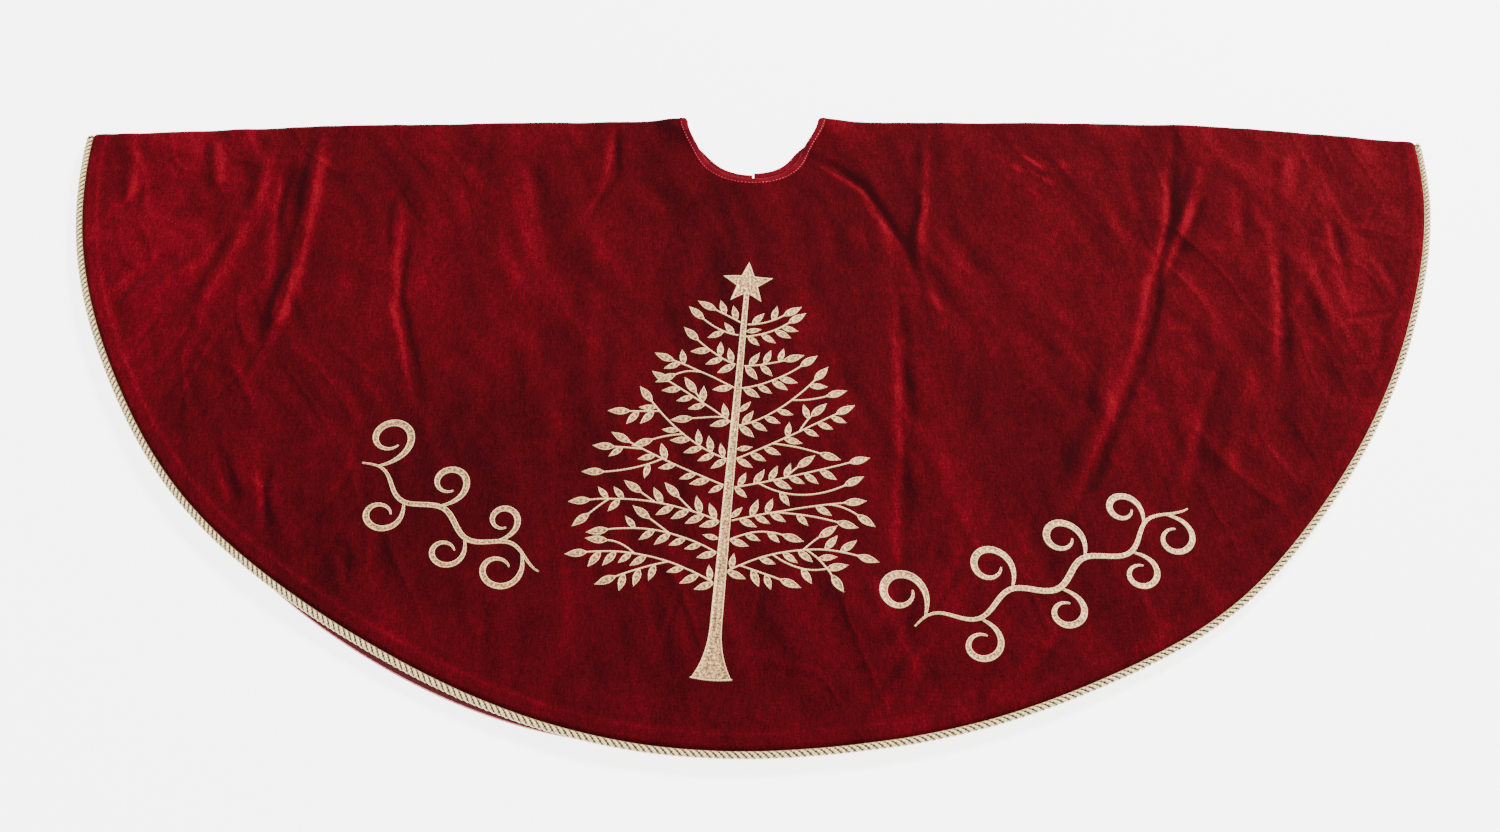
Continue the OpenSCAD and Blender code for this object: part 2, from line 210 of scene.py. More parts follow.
def crease_height(x, y):
    """Folds and pinches of the front half, with a soft shoulder on both sides of each."""
    out = np.zeros_like(x)
    wobble = 2.2 * MM * noise(x / 0.026, y / 0.026, 5) + 0.9 * MM * noise(x / 0.011, y / 0.011, 6)
    for path, width, height in CREASES:
        d, along = to_path(x, y, [(px * MM, py * MM) for px, py in path])
        d = (d + wobble) / (width * CREASE_W * MM)
        ends = smooth(along / 0.25) * smooth((1 - along) / 0.25)
        patchy = 0.75 + 0.45 * noise(x / 0.035 + 9, y / 0.035, 7)
        shape = np.exp(-(d**2)) - 0.30 * np.exp(-((d / 2.6) ** 2))
        out += height * CREASE_H * MM * shape * (0.2 + 0.8 * ends) * patchy
    return out


def front_rise(x, y):
    """Height of the front half above its flat level, at points of the flat cloth."""
    r = np.hypot(x, y)
    wx = x + 0.018 * noise(x / 0.09, y / 0.11, 21)
    wy = y + 0.018 * noise(x / 0.10, y / 0.09, 22)
    lean = wx + 0.30 * wy
    rise = 1.3 * MM * noise(wx / 0.20, wy / 0.24, 31)
    rise += 0.9 * MM * noise(wx / 0.055, wy / 0.20, 32) * (0.6 + 0.4 * noise(x / 0.2, y / 0.2, 33))
    rise += 0.75 * MM * noise(lean / 0.030, wy / 0.080, 34)
    rise += 0.42 * MM * noise(lean / 0.014, wy / 0.036, 35)
    crest = 1 - np.abs(noise(lean / 0.030, wy / 0.070, 36)) * 4
    crease = 1 - np.abs(noise((wx - 0.5 * wy) / 0.034, wy / 0.080, 37)) * 4
    loose = 0.35 + 0.65 * np.clip(smooth((np.abs(x) - 0.22) / 0.2) + smooth((-y - 0.36) / 0.12), 0, 1)
    rise += loose * MM * (0.35 * np.maximum(crest, 0) ** 1.5 - 0.40 * np.maximum(crease, 0) ** 1.5)
    rise += crease_height(x, y)
    edge = HEM_R - r
    angle = np.arctan2(y, x)
    pinch = noise(angle * HEM_R / 0.021, np.zeros_like(x) + 7.5, 41) * np.exp(-((edge / 0.035) ** 2))
    rise += 0.9 * MM * pinch
    rise += 1.3 * MM * smooth(edge / (3 * MM)) * smooth((SEAM_W - edge) / (6 * MM))
    near_fold = np.exp(-(((FOLD_Y - y) / 0.10) ** 2))
    rise += PUFF * near_fold * smooth((0.60 - np.abs(x)) / 0.22)
    ears = np.exp(-(((np.abs(x) - HOLE_R) / 0.028) ** 2)) * np.exp(-(((FOLD_Y - y) / 0.035) ** 2))
    rise += 5.5 * MM * ears
    rise -= 2.0 * MM * smooth((-y - 0.42) / 0.16) * smooth((r - 0.45) / 0.14)
    calm = smooth(edge / 0.05) * 0.75 + 0.25
    rise *= calm
    floor = -2.2 * MM
    return np.where(rise < 0, floor * np.tanh(rise / floor), np.minimum(rise, 9.5 * MM))


def back_rise(x, y):
    """Height of the back quarters above their flat level when folded, at points of the plan."""
    r = np.hypot(x, y - 2 * FOLD_Y)
    wx = x + 0.015 * noise(x / 0.08, y / 0.1, 51)
    rise = 1.3 * MM * noise(wx / 0.05, y / 0.17, 52) + 0.8 * MM * noise(wx / 0.024, y / 0.07, 53)
    rise += 1.0 * MM * noise(x / 0.16, y / 0.18, 54) - 0.2 * MM
    calm = smooth((HEM_R - r) / 0.05) * smooth((FOLD_Y - y) / 0.06) * smooth((np.abs(x) - 0.01) / 0.05)
    return np.clip(rise, 0, 1.2 * MM) * calm


def wander(x, y, centre_y=0.0):
    """Plan points moved out or in with the hem."""
    r = np.hypot(x, y - centre_y)
    angle = np.arctan2(y - centre_y, x)
    k = 1 + hem_wander(angle) * smooth((r - 0.35) / 0.24) / np.maximum(r, 0.01)
    return x * k, (y - centre_y) * k + centre_y


def nip(x, plan_y, phi):
    """The hole's two sides: drawn together in front of the fold, and spread a little at the fold."""
    near = np.exp(-(((np.abs(x) - HOLE_R) / 0.036) ** 2)) * np.sign(x)
    drawn_in = np.where(x > 0, NIP[1], NIP[-1])
    return near * (NIP_SPREAD * np.sin(phi) - drawn_in * np.exp(-(((plan_y + 0.026) / 0.028) ** 2)))


def peek(x, plan_y):
    """How much smaller the back layer's hole lies, with a step where its two edges meet."""
    r = np.hypot(x, plan_y - 2 * FOLD_Y)
    amount = np.where(x > 0, PEEK[1], PEEK[-1]) * np.exp(-(((r - HOLE_R) / 0.022) ** 2))
    return amount * smooth((FOLD_Y - plan_y) / 0.03) / np.maximum(r, 0.01)


def lay(points, phi=0.0):
    """Points of the open, flat cloth to where they lie at rest.

    x and y are the open cloth's, z the height in the stack, and phi the turn about the fold line:
    0 on the front half, pi on the back quarters, and between them on the roll of the fold."""
    x, y, z = points[..., 0], points[..., 1], points[..., 2]
    phi = np.broadcast_to(phi, x.shape)
    back = phi > math.pi - 1e-6
    plan_y = np.where(back, 2 * FOLD_Y - y, y)
    down = TOP_Z - z
    fx, fy = wander(x, plan_y)
    bx, by = wander(x, plan_y, 2 * FOLD_Y)
    shift = sag(x, plan_y)
    pull = nip(x, plan_y, phi)
    inner = peek(x, plan_y)
    bx, by = bx * (1 - inner), by - (by - 2 * FOLD_Y) * inner
    top = TOP_Z + front_rise(x, np.minimum(plan_y, FOLD_Y))
    low = back_rise(x, plan_y)
    half = top / 2
    roll_y = FOLD_Y - sag(x, np.full_like(x, FOLD_Y)) + (np.minimum(half, AXIS_Z) - down) * np.sin(phi)
    roll_z = half + (half - down) * np.cos(phi)
    front = np.stack([fx + pull, fy - shift, top - down], -1)
    under = np.stack([bx + pull, by - shift, low + down], -1)
    roll = np.stack([x + pull, roll_y, roll_z], -1)
    out = np.where(back[..., None], under, roll)
    return np.where((phi < 1e-6)[..., None], front, out)


# ---- making meshes ----


def grid_faces(rows, cols, close_rows=False, close_cols=False):
    """Four-sided faces over a grid of points, row by row."""
    i, j = np.meshgrid(np.arange(rows - (not close_rows)), np.arange(cols - (not close_cols)), indexing="ij")
    up, on = (i + 1) % rows, (j + 1) % cols
    return np.stack([i * cols + j, i * cols + on, up * cols + on, up * cols + j], -1).reshape(-1, 4)


def make_piece(name, points, faces, materials, uv=None, flip=False, slots=None, values=None):
    """A mesh object from faces of four corners, a uv pair for each point and a slot for each face."""
    mesh = bpy.data.meshes.new(name)
    points = np.asarray(points, np.float32).reshape(-1, 3)
    faces = np.asarray(faces, np.int32)
    if flip:
        faces = faces[:, ::-1]
    mesh.vertices.add(len(points))
    mesh.vertices.foreach_set("co", points.ravel())
    mesh.loops.add(faces.size)
    mesh.loops.foreach_set("vertex_index", faces.ravel())
    mesh.polygons.add(len(faces))
    mesh.polygons.foreach_set("loop_start", np.arange(0, faces.size, 4, dtype=np.int32))
    mesh.update(calc_edges=True)
    mesh.polygons.foreach_set("use_smooth", np.ones(len(faces), bool))
    if slots is not None:
        mesh.polygons.foreach_set("material_index", np.asarray(slots, np.int32))
    if uv is not None:
        layer = mesh.uv_layers.new(name="flat")
        layer.data.foreach_set("uv", np.asarray(uv, np.float32).reshape(-1, 2)[faces.ravel()].ravel())
    for key, value in (values or {}).items():
        attribute = mesh.attributes.new(key, "FLOAT", "POINT")
        attribute.data.foreach_set("value", np.asarray(value, np.float32).ravel())
    for material in materials:
        mesh.materials.append(material)
    mesh.validate()
    piece = bpy.data.objects.new(name, mesh)
    bpy.context.scene.collection.objects.link(piece)
    return piece


def join_parts(parts):
    """Several (points, faces, uv, slots) as one."""
    points, faces, uvs, slots, count = [], [], [], [], 0
    for p, f, u, s in parts:
        points.append(p.reshape(-1, 3))
        faces.append(f + count)
        uvs.append(u.reshape(-1, 2))
        slots.append(s)
        count += points[-1].shape[0]
    return np.concatenate(points), np.concatenate(faces), np.concatenate(uvs), np.concatenate(slots)


# ---- materials ----


class Nodes:
    """A material's node tree, with short calls for what the finishes share."""

    def __init__(self, name):
        self.material = bpy.data.materials.new(name)
        self.material.use_nodes = True
        self.tree = self.material.node_tree
        self.shader = self.tree.nodes["Principled BSDF"]

    def add(self, kind, **settings):
        node = self.tree.nodes.new(kind)
        for key, value in settings.items():
            if key in node.inputs:
                node.inputs[key].default_value = value
            else:
                setattr(node, key, value)
        return node

    def link(self, source, target):
        self.tree.links.new(source, target)
        return source

    def flat(self, scale):
        """The cloth's own flat coordinates in metres, times scale for each axis."""
        uv = self.add("ShaderNodeUVMap", uv_map="flat")
        mapping = self.add("ShaderNodeMapping")
        mapping.inputs["Scale"].default_value = (*scale, 1)
        self.link(uv.outputs["UV"], mapping.inputs["Vector"])
        return mapping.outputs["Vector"]

    def noise(self, vector, detail=2.0, roughness=0.5, seed=0.0):
        node = self.add(
            "ShaderNodeTexNoise", noise_dimensions="4D", Scale=1.0, Detail=detail, Roughness=roughness)
        node.inputs["W"].default_value = seed
        self.link(vector, node.inputs["Vector"])
        return node.outputs["Fac"]

    def wave(self, vector, distortion=0.0, direction="X"):
        node = self.add("ShaderNodeTexWave", bands_direction=direction, Scale=1.0, Distortion=distortion)
        self.link(vector, node.inputs["Vector"])
        return node.outputs["Fac"]

    def math(self, operation, a, b):
        node = self.add("ShaderNodeMath", operation=operation)
        for socket, value in zip(node.inputs, (a, b)):
            if isinstance(value, (int, float)):
                socket.default_value = value
            else:
                self.link(value, socket)
        return node.outputs[0]

    def ramp(self, factor, stops):
        node = self.add("ShaderNodeValToRGB")
        ramp = node.color_ramp
        while len(ramp.elements) < len(stops):
            ramp.elements.new(0.5)
        for element, (place, colour) in zip(ramp.elements, stops):
            element.position = place
            element.color = (*colour, 1)
        self.link(factor, node.inputs["Fac"])
        return node.outputs["Color"]

    def bump(self, height, distance, strength=1.0):
        node = self.add("ShaderNodeBump", Distance=distance, Strength=strength)
        self.link(height, node.inputs["Height"])
        self.link(node.outputs["Normal"], self.shader.inputs["Normal"])

    def set(self, **values):
        for key, value in values.items():
            self.shader.inputs[key.replace("_", " ")].default_value = value


def velvet_material(name, dark, mid, bright, grain=0.9):
    """Pile velvet: lighter and darker red from a tone kept on the points, which holds the way the pile lies
    together with painted shade and highlight on the slopes, with a fine grain over it.
    """
    n = Nodes(name)
    pile = n.add("ShaderNodeAttribute", attribute_name="pile").outputs["Fac"]
    speck = n.noise(n.flat((640, 520)), 2.0, 0.8, 1.0)
    thread = n.noise(n.flat((520, 150)), 2.0, 0.6, 2.0)
    cloud = n.noise(n.flat((40, 30)), 6.0, 0.72, 3.0)
    brushed = n.noise(n.flat((200, 60)), 3.0, 0.65, 4.0)
    tone = pile
    for layer, share in ((speck, 1.3 * grain), (thread, 0.9 * grain), (cloud, 0.5), (brushed, 0.45)):
        tone = n.math("ADD", tone, n.math("MULTIPLY", n.math("SUBTRACT", layer, 0.5), share))
    n.link(n.ramp(tone, [(0.0, dark), (0.45, mid), (1.0, bright)]), n.shader.inputs["Base Color"])
    fur = n.math("ADD", speck, n.math("MULTIPLY", thread, 0.8))
    n.bump(fur, 0.0009, 0.8)
    n.set(Roughness=0.95, Specular_IOR_Level=0.05, Sheen_Weight=0.055, Sheen_Roughness=0.35)
    n.shader.inputs["Sheen Tint"].default_value = (1.0, 0.10, 0.12, 1)
    return n.material


def woven_material(name, dark, light, pitch, sheen=0.15, roughness=0.7):
    """A plain weave: two crossed waves, with slubs."""
    n = Nodes(name)
    scale = 1 / pitch
    warp = n.wave(n.flat((scale / 20, scale / 20)), 0.6, "X")
    weft = n.wave(n.flat((scale / 20, scale / 20)), 0.6, "Y")
    cloth = n.math("MULTIPLY", n.math("ADD", warp, weft), 0.5)
    slub = n.noise(n.flat((60, 400)), 3.0, 0.6, 5.0)
    tone = n.math("ADD", n.math("MULTIPLY", cloth, 0.6), n.math("MULTIPLY", slub, 0.5))
    n.link(n.ramp(tone, [(0.1, dark), (0.9, light)]), n.shader.inputs["Base Color"])
    n.bump(cloth, pitch * 0.5, 0.6)
    n.set(Roughness=roughness, Specular_IOR_Level=0.3, Sheen_Weight=sheen, Sheen_Roughness=0.4)
    return n.material


def satin_material(name, dark, light, pitch, gloss=0.42):
    """Satin stitch: close parallel threads across the stroke."""
    n = Nodes(name)
    threads = n.wave(n.flat((1 / pitch / 20, 20)), 0.8, "X")
    uneven = n.noise(n.flat((260, 500)), 3.0, 0.6, 6.0)
    tone = n.math("ADD", n.math("MULTIPLY", threads, 0.45), n.math("MULTIPLY", uneven, 0.6))
    n.link(n.ramp(tone, [(0.15, dark), (0.75, light)]), n.shader.inputs["Base Color"])
    n.bump(threads, pitch * 0.5, 0.5)
    n.set(Roughness=gloss, Specular_IOR_Level=0.5, Sheen_Weight=0.2, Sheen_Roughness=0.4)
    return n.material


def fill_material(name, low, body, fleck):
    """Filling stitch in metallic thread: a speckle of dull gold, grey and bright flecks."""
    n = Nodes(name)
    coarse = n.noise(n.flat((430, 430)), 3.0, 0.8, 7.0)
    fine = n.noise(n.flat((1200, 1200)), 2.0, 0.7, 8.0)
    rows = n.wave(n.flat((90, 20)), 1.5, "X")
    tone = n.math("ADD", n.math("MULTIPLY", coarse, 0.7), n.math("MULTIPLY", fine, 0.3))
    colour = n.ramp(tone, [(0.40, low), (0.49, body), (0.58, fleck)])
    n.link(colour, n.shader.inputs["Base Color"])
    n.bump(n.math("ADD", tone, n.math("MULTIPLY", rows, 0.4)), 0.0004, 0.6)
    n.set(Roughness=0.46, Metallic=0.25, Specular_IOR_Level=0.6)
    return n.material


def cord_material(name, dark, mid, light):
    """Twisted rayon: fine yarns that wind along each strand, darkening towards the cord's core as painted
    shade on the strands' inner sides and in the gaps between them.
    """
    n = Nodes(name)
    yarn = n.wave(n.flat((95, 34)), 0.4, "X")
    uneven = n.noise(n.flat((300, 900)), 3.0, 0.6, 9.0)
    out = n.add("ShaderNodeAttribute", attribute_name="outward").outputs["Fac"]
    tone = n.math("ADD", n.math("MULTIPLY", yarn, 0.12), n.math("MULTIPLY", uneven, 0.22))
    # Painted shade: the nearer a point lies to the cord's centre, the darker it is, so the gaps between
    # strands go dark.
    tone = n.math("ADD", n.math("SUBTRACT", tone, 0.17), out)
    n.link(n.ramp(tone, [(0.70, dark), (0.84, mid), (0.97, light)]), n.shader.inputs["Base Color"])
    n.bump(yarn, 0.0003, 0.6)
    n.set(Roughness=0.38, Specular_IOR_Level=0.55, Sheen_Weight=0.25, Sheen_Roughness=0.35)
    return n.material


def felt_material(name, dark, light, scale=500):
    """Matted fibres, for the wadding and the touch tape."""
    n = Nodes(name)
    fibre = n.noise(n.flat((scale, scale)), 5.0, 0.75, 10.0)
    n.link(n.ramp(fibre, [(0.3, dark), (0.7, light)]), n.shader.inputs["Base Color"])
    n.bump(fibre, 0.0012, 0.8)
    n.set(Roughness=0.95, Specular_IOR_Level=0.1)
    return n.material


VELVET = velvet_material(
    "red_velvet", (0.020, 0.0003, 0.0012), (0.056, 0.0006, 0.0026), (0.165, 0.0026, 0.0080))
BINDING = velvet_material(
    "red_binding", (0.05, 0.0008, 0.003), (0.13, 0.003, 0.009), (0.30, 0.018, 0.032), 0.3)
LINING = woven_material("red_lining", (0.05, 0.0008, 0.003), (0.12, 0.002, 0.007), 0.0006)
SATIN = satin_material("cream_satin_stitch", (0.62, 0.36, 0.13), (1.0, 0.70, 0.35), 0.00045)
FILL = fill_material("gold_fill_stitch", (0.022, 0.009, 0.002), (0.26, 0.120, 0.034), (0.92, 0.58, 0.24))
# The near-black first colour is the painted shade between the strands.
CORD = cord_material("gold_cord", (0.016, 0.009, 0.002), (0.25, 0.16, 0.048), (0.95, 0.70, 0.34))
TAPE = woven_material("gold_tape", (0.40, 0.30, 0.14), (0.62, 0.50, 0.28), 0.0008)
WADDING = felt_material("white_wadding", (0.62, 0.60, 0.56), (0.90, 0.89, 0.86))
HOOKS = felt_material("hook_tape", (0.07, 0.001, 0.004), (0.24, 0.012, 0.02), 1300)
LOOPS = felt_material("loop_tape", (0.10, 0.002, 0.006), (0.32, 0.02, 0.03), 900)
STITCH = satin_material("red_thread", (0.20, 0.002, 0.006), (0.46, 0.02, 0.03), 0.0004)
# The lip's curled edge: a painted highlight where the edge catches the light.
RIM_HIGHLIGHT = woven_material("pink_edge", (0.52, 0.10, 0.12), (0.75, 0.30, 0.30), 0.0005)


# ---- cloth ----

STEP = 2.7 * MM
ROLL_TURNS = np.radians([55, 63, 71, 78, 102, 109, 116, 124, 135, 150, 165, 180])
# How far the front half's own sheets are carried round the fold
FRONT_TURN = math.radians(72)
# A hem: how far in from the edge, and how deep in the stack
HEM_TURN = [(3.2, 0), (1.8, 0.25), (0.7, 0.9), (0.1, 1.7), (0, 2.3), (0.3, 3.1), (1.2, 3.9), (3.2, 4.2),
            (12, 4.25)]
# A binding round an edge: how far in from the edge, and how deep
BAND_TURN = [(7.6, 0.9), (7.2, -0.1), (6.2, -0.35), (4.4, -0.5), (2.2, -0.35), (0.8, 0.4), (0.1, 1.5),
             (0, 2.3), (0.2, 3.2), (1.0, 4.3), (2.6, 4.9), (5.2, 4.9), (7.2, 4.7), (7.6, 3.9)]


def spaced(a, b, step=STEP):
    """Evenly spaced values from a to b, about step apart."""
    return np.linspace(a, b, max(2, round(abs(b - a) / step) + 1))


def front_arc(r, count):
    """Plan points of one ring of the front half, from its right fold end round to its left."""
    over = np.arcsin(FOLD_Y / r)
    angle = over - np.linspace(0, 1, count) * (math.pi + 2 * over)
    return r * np.cos(angle), r * np.sin(angle)


def back_arc(r, count, side, inset):
    """Open plan points of one ring of a back quarter, from the slit round to the fold."""
    start, end = np.arccos(inset / r), np.arcsin(FOLD_Y / r)
    angle = start + np.linspace(0, 1, count) * (end - start)
    return side * r * np.cos(angle), r * np.sin(angle)


def front_sheet(rows, count, roll_to):
    """Flat points and turns of rings of the front half, carried round the fold as far as roll_to."""
    turns = np.linspace(0, roll_to, 7)[1:] if roll_to else np.zeros(0)
    flat, phi = [], []
    for r, depth in rows:
        x, y = front_arc(r, count)
        x = np.concatenate([np.full(len(turns), x[0]), x, np.full(len(turns), x[-1])])
        y = np.concatenate([np.full(len(turns), FOLD_Y), y, np.full(len(turns), FOLD_Y)])
        flat.append(np.stack([x, y, np.full_like(x, TOP_Z - depth)], -1))
        phi.append(np.concatenate([turns[::-1], np.zeros(count), turns]))
    return np.array(flat), np.array(phi)


def back_sheet(rows, count, side, inset):
    flat = []
    for r, depth in rows:
        x, y = back_arc(r, count, side, inset)
        flat.append(np.stack([x, y, np.full_like(x, TOP_Z - depth)], -1))
    return np.array(flat), np.full((len(rows), count), math.pi)


def roll_sheet(rows, side, turns=ROLL_TURNS):
    """The strip of cloth round the fold on one side of the hole."""
    flat = []
    for r, depth in rows:
        x = np.full_like(turns, side * math.sqrt(r * r - FOLD_Y**2))
        flat.append(np.stack([x, np.full_like(x, FOLD_Y), np.full_like(x, TOP_Z - depth)], -1))
    phi = np.broadcast_to(turns, (len(rows), len(turns)))
    return np.array(flat), phi.copy()


def flat_uv(flat, phi):
    """The open cloth's own coordinates, with the fold's strip let in."""
    return np.stack([flat[..., 0], flat[..., 1] + phi * AXIS_Z], -1)


def pile_and_shade_of(flat, phi):
    """A tone for the velvet, from 0, dark, to 1, bright: painted shade and highlight from how each slope
    leans towards or away from the key light, over patches where the pile lies one way or the other, a lighter
    band over the hem and a crushed patch.
    """
    x, y = flat[..., 0], flat[..., 1]
    plan_y = np.where(phi > 3, 2 * FOLD_Y - y, y)
    e = 1.5 * MM
    rise = front_rise if np.mean(phi) < 1.5 else back_rise
    slope_x = (rise(x + e, plan_y) - rise(x - e, plan_y)) / (2 * e)
    slope_y = (rise(x, plan_y + e) - rise(x, plan_y - e)) / (2 * e)
    r = np.hypot(x, plan_y)
    # Painted shade and highlight: slopes that face the key light at the upper right are lightened, those that
    # face away are darkened.
    tone = 0.38 - 1.45 * slope_x - 0.8 * slope_y
    wx = x + 0.02 * noise(x / 0.07, plan_y / 0.07, 64)
    tone += 0.08 * noise(wx / 0.13, plan_y / 0.17, 61) + 0.06 * noise(wx / 0.030, plan_y / 0.10, 62)
    tone += 0.06 * noise(wx / 0.012, plan_y / 0.030, 65)
    tone += 0.24 * np.exp(-(((x + 0.50) / 0.13) ** 2)) * smooth((plan_y + 0.33) / 0.2)
    tone += 0.06 * smooth((x - 0.38) / 0.16) * smooth((plan_y + 0.42) / 0.25)
    tone -= 0.13 * np.exp(-(((x + 0.30) / 0.16) ** 2)) * smooth((-plan_y - 0.20) / 0.2)
    tone -= 0.07 * np.exp(-(((x + 0.05) / 0.12) ** 2))
    tone += 0.07 * smooth((r - HEM_R + SEAM_W) / (4 * MM))
    cx, cy, reach = CRUSHED
    d = np.hypot(x - cx * MM, (plan_y - cy * MM) * 1.3) / (reach * MM)
    scuff = np.clip(noise((x + plan_y) / 0.006, (x - plan_y) / 0.022, 63), 0, 1)
    tone += 0.75 * scuff * np.exp(-(d**2))
    return tone


def cloth_piece(name, flat, phi, material, flip, pile=True, slots=None, materials=None):
    values = {"pile": pile_and_shade_of(flat, phi)} if pile else None
    rows, cols = phi.shape
    return make_piece(name, lay(flat, phi), grid_faces(rows, cols), materials or [material],
                      uv=flat_uv(flat, phi), flip=flip, slots=slots, values=values)


def rings(start, end, depth, step=STEP):
    return [(r, depth) for r in spaced(start, end, step)]


def hem_rings():
    return [(HEM_R - inward * MM, depth * MM) for inward, depth in HEM_TURN]


def velvet_rows(step=STEP):
    return rings(BAND_R - 1.5 * MM, HEM_R - 4.5 * MM, 0, step) + hem_rings()


def lining_rows(step):
    return rings(BAND_R - 1.5 * MM, HEM_R - 6 * MM, STACK, step) + [(HEM_R - 3 * MM, STACK - 0.2 * MM),
                                                                    (HEM_R - 2 * MM, STACK - 0.8 * MM)]


def ride(piece, body, slot, *nodes):
    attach(piece, body)
    if nodes:
        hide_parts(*nodes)
    return piece


def make_front():
    """The front half: velvet, wadding and lining."""
    count = round(math.pi * HEM_R / STEP)
    flat, phi = front_sheet(velvet_rows(), count, FRONT_TURN)
    velvet = ride(cloth_piece("front_velvet_cloth", flat, phi, VELVET, True), FRONT, "velvet", "front_velvet")

    flat, phi = front_sheet(lining_rows(8 * MM), count // 2, 0)
    lining = cloth_piece("front_lining_cloth", flat, phi, LINING, False, False)
    ride(lining, FRONT, "lining", "front_lining")

    wadding = ride(wadding_piece("front_wadding_layer", lambda rows: front_sheet(rows, count // 4, 0), True),
                   FRONT, "wadding", "front_wadding")
    return velvet, lining, wadding


def make_lip():
    """The back lining has slipped out past the hem at the front left, between the two cords."""
    first, last = math.radians(-133), math.radians(-99)
    angle = np.linspace(first, last, 150)
    share = np.sin(math.pi * (angle - first) / (last - first)) ** 0.6
    reach = -5 * MM + (LIP_REACH + 5 * MM) * share
    drop = [(0.0, 0.0), (0.35, 0.05), (0.6, 0.25), (0.8, 0.6), (0.95, 1.1), (1.0, 1.7), (0.97, 2.2),
            (0.90, 2.4)]
    rows = []
    for along, fall in drop:
        r = CORD_RING - 14 * MM + (reach + 14 * MM) * along
        flat = np.stack([r * np.cos(angle), r * np.sin(angle), np.full_like(angle, LIP_Z)], -1)
        x, y = wander(flat[:, 0], flat[:, 1])
        rows.append(np.stack([x, y, flat[:, 2] - fall * MM - 0.5 * MM * (1 - share)], -1))
    points = np.array(rows)
    faces = grid_faces(*points.shape[:2])
    # The last three rows, round the curled edge, take the pink painted highlight.
    slots = np.repeat([0, 0, 0, 0, 1, 1, 1], points.shape[1] - 1)
    uv = points[..., :2]
    piece = make_piece("back_left_lining_lip", points, faces, [LINING, RIM_HIGHLIGHT], uv=uv, flip=False, slots=slots)
    return ride(piece, BACK[-1], "lining")


def wadding_piece(name, sheet, flip):
    """A closed soft layer between the velvet and the lining."""
    top = [(r, 3.0 * MM) for r in spaced(BAND_R, HEM_R - 13 * MM, 8 * MM)]
    rows = top + [(r, 3.9 * MM) for r, _ in top[::-1]]
    flat, phi = sheet(rows)
    faces = grid_faces(*phi.shape, close_rows=True)
    return make_piece(name, lay(flat, phi), faces, [WADDING], uv=flat_uv(flat, phi), flip=flip)


def make_back(side):
    """One back quarter: velvet, wadding and lining."""
    tag = SIDES[side]
    inset = SLIT_X + BAND_W - 1.2 * MM
    step = 4.5 * MM
    count = round(math.pi / 2 * HEM_R / step)
    flat, phi = back_sheet(velvet_rows(step), count, side, inset)
    velvet = cloth_piece(f"back_{tag}_velvet_cloth", flat, phi, VELVET, side > 0)
    ride(velvet, BACK[side], "velvet", f"back_{tag}_velvet")

    flat, phi = back_sheet(lining_rows(8 * MM), count // 2, side, inset)
    lining = cloth_piece(f"back_{tag}_lining_cloth", flat, phi, LINING, side < 0, False)
    ride(lining, BACK[side], "lining", f"back_{tag}_lining")

    wadding = wadding_piece(f"back_{tag}_wadding_layer",
                            lambda rows: back_sheet(rows, count // 3, side, inset), side > 0)
    ride(wadding, BACK[side], "wadding", f"back_{tag}_wadding")
    return velvet, lining, wadding


def blend_fold(piece, side, slot, *nodes):
    """Bakes a strip that turns round the fold into plain points where it lies at rest, and hides the frame's
    parts it stands in for.
    """
    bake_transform(piece)
    if nodes:
        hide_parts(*nodes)
    return piece


def make_fold(side):
    """The strips that turn under at the fold: velvet outside and lining inside."""
    tag = SIDES[side]
    flat, phi = roll_sheet(velvet_rows(6 * MM), side)
    flat[:, 0, 2] -= 0.5 * MM
    flat[:, 1, 2] -= 0.25 * MM
    outer = cloth_piece(f"{tag}_fold_velvet", flat, phi, VELVET, side < 0)
    blend_fold(outer, side, "velvet", f"{tag}_fold")
    inner_turns = np.concatenate([np.radians([0, 15, 30, 45]), ROLL_TURNS])
    flat, phi = roll_sheet(lining_rows(12 * MM), side, inner_turns)
    inner = cloth_piece(f"{tag}_fold_lining", flat, phi, LINING, side > 0, False)
    blend_fold(inner, side, "lining")
    return outer, inner


# ---- bindings ----


def band_rows():
    return [(HOLE_R + inward * MM, depth * MM) for inward, depth in BAND_TURN]


def make_hole_bindings():
    count = round(math.pi * HOLE_R / (1.6 * MM))
    flat, phi = front_sheet(band_rows(), count, FRONT_TURN)
    front = cloth_piece("front_hole_band", flat, phi, BINDING, False)
    ride(front, FRONT, "binding", "front_hole_binding")
    for side, tag in SIDES.items():
        flat, phi = back_sheet(band_rows(), count // 2, side, SLIT_X)
        back = cloth_piece(f"back_{tag}_hole_band", flat, phi, BINDING, side < 0)
        ride(back, BACK[side], "binding", f"back_{tag}_hole_binding")
        flat, phi = roll_sheet(band_rows(), side)
        flat[:, 0, 2] -= 0.3 * MM
        turn = cloth_piece(f"{tag}_fold_band", flat, phi, BINDING, side > 0)
        blend_fold(turn, side, "binding")


def make_slit_binding(side):
    tag = SIDES[side]
    ends = 1.0 * MM
    y = spaced(BAND_R - 2 * MM, HEM_R - 0.5 * MM, 5 * MM)
    flat = np.array([[(side * (SLIT_X + inward * MM), v, TOP_Z - depth * MM) for v in y]
                     for inward, depth in BAND_TURN])
    middle = TOP_Z - STACK / 2
    for k in (0, -1):
        flat[:, k, 2] = middle + (flat[:, k, 2] - middle) * 0.35
    flat[:, 0, 1] -= ends
    phi = np.full(flat.shape[:2], math.pi)
    piece = cloth_piece(f"back_{tag}_slit_band", flat, phi, BINDING, side > 0)
    return ride(piece, BACK[side], "binding", f"back_{tag}_slit_binding")


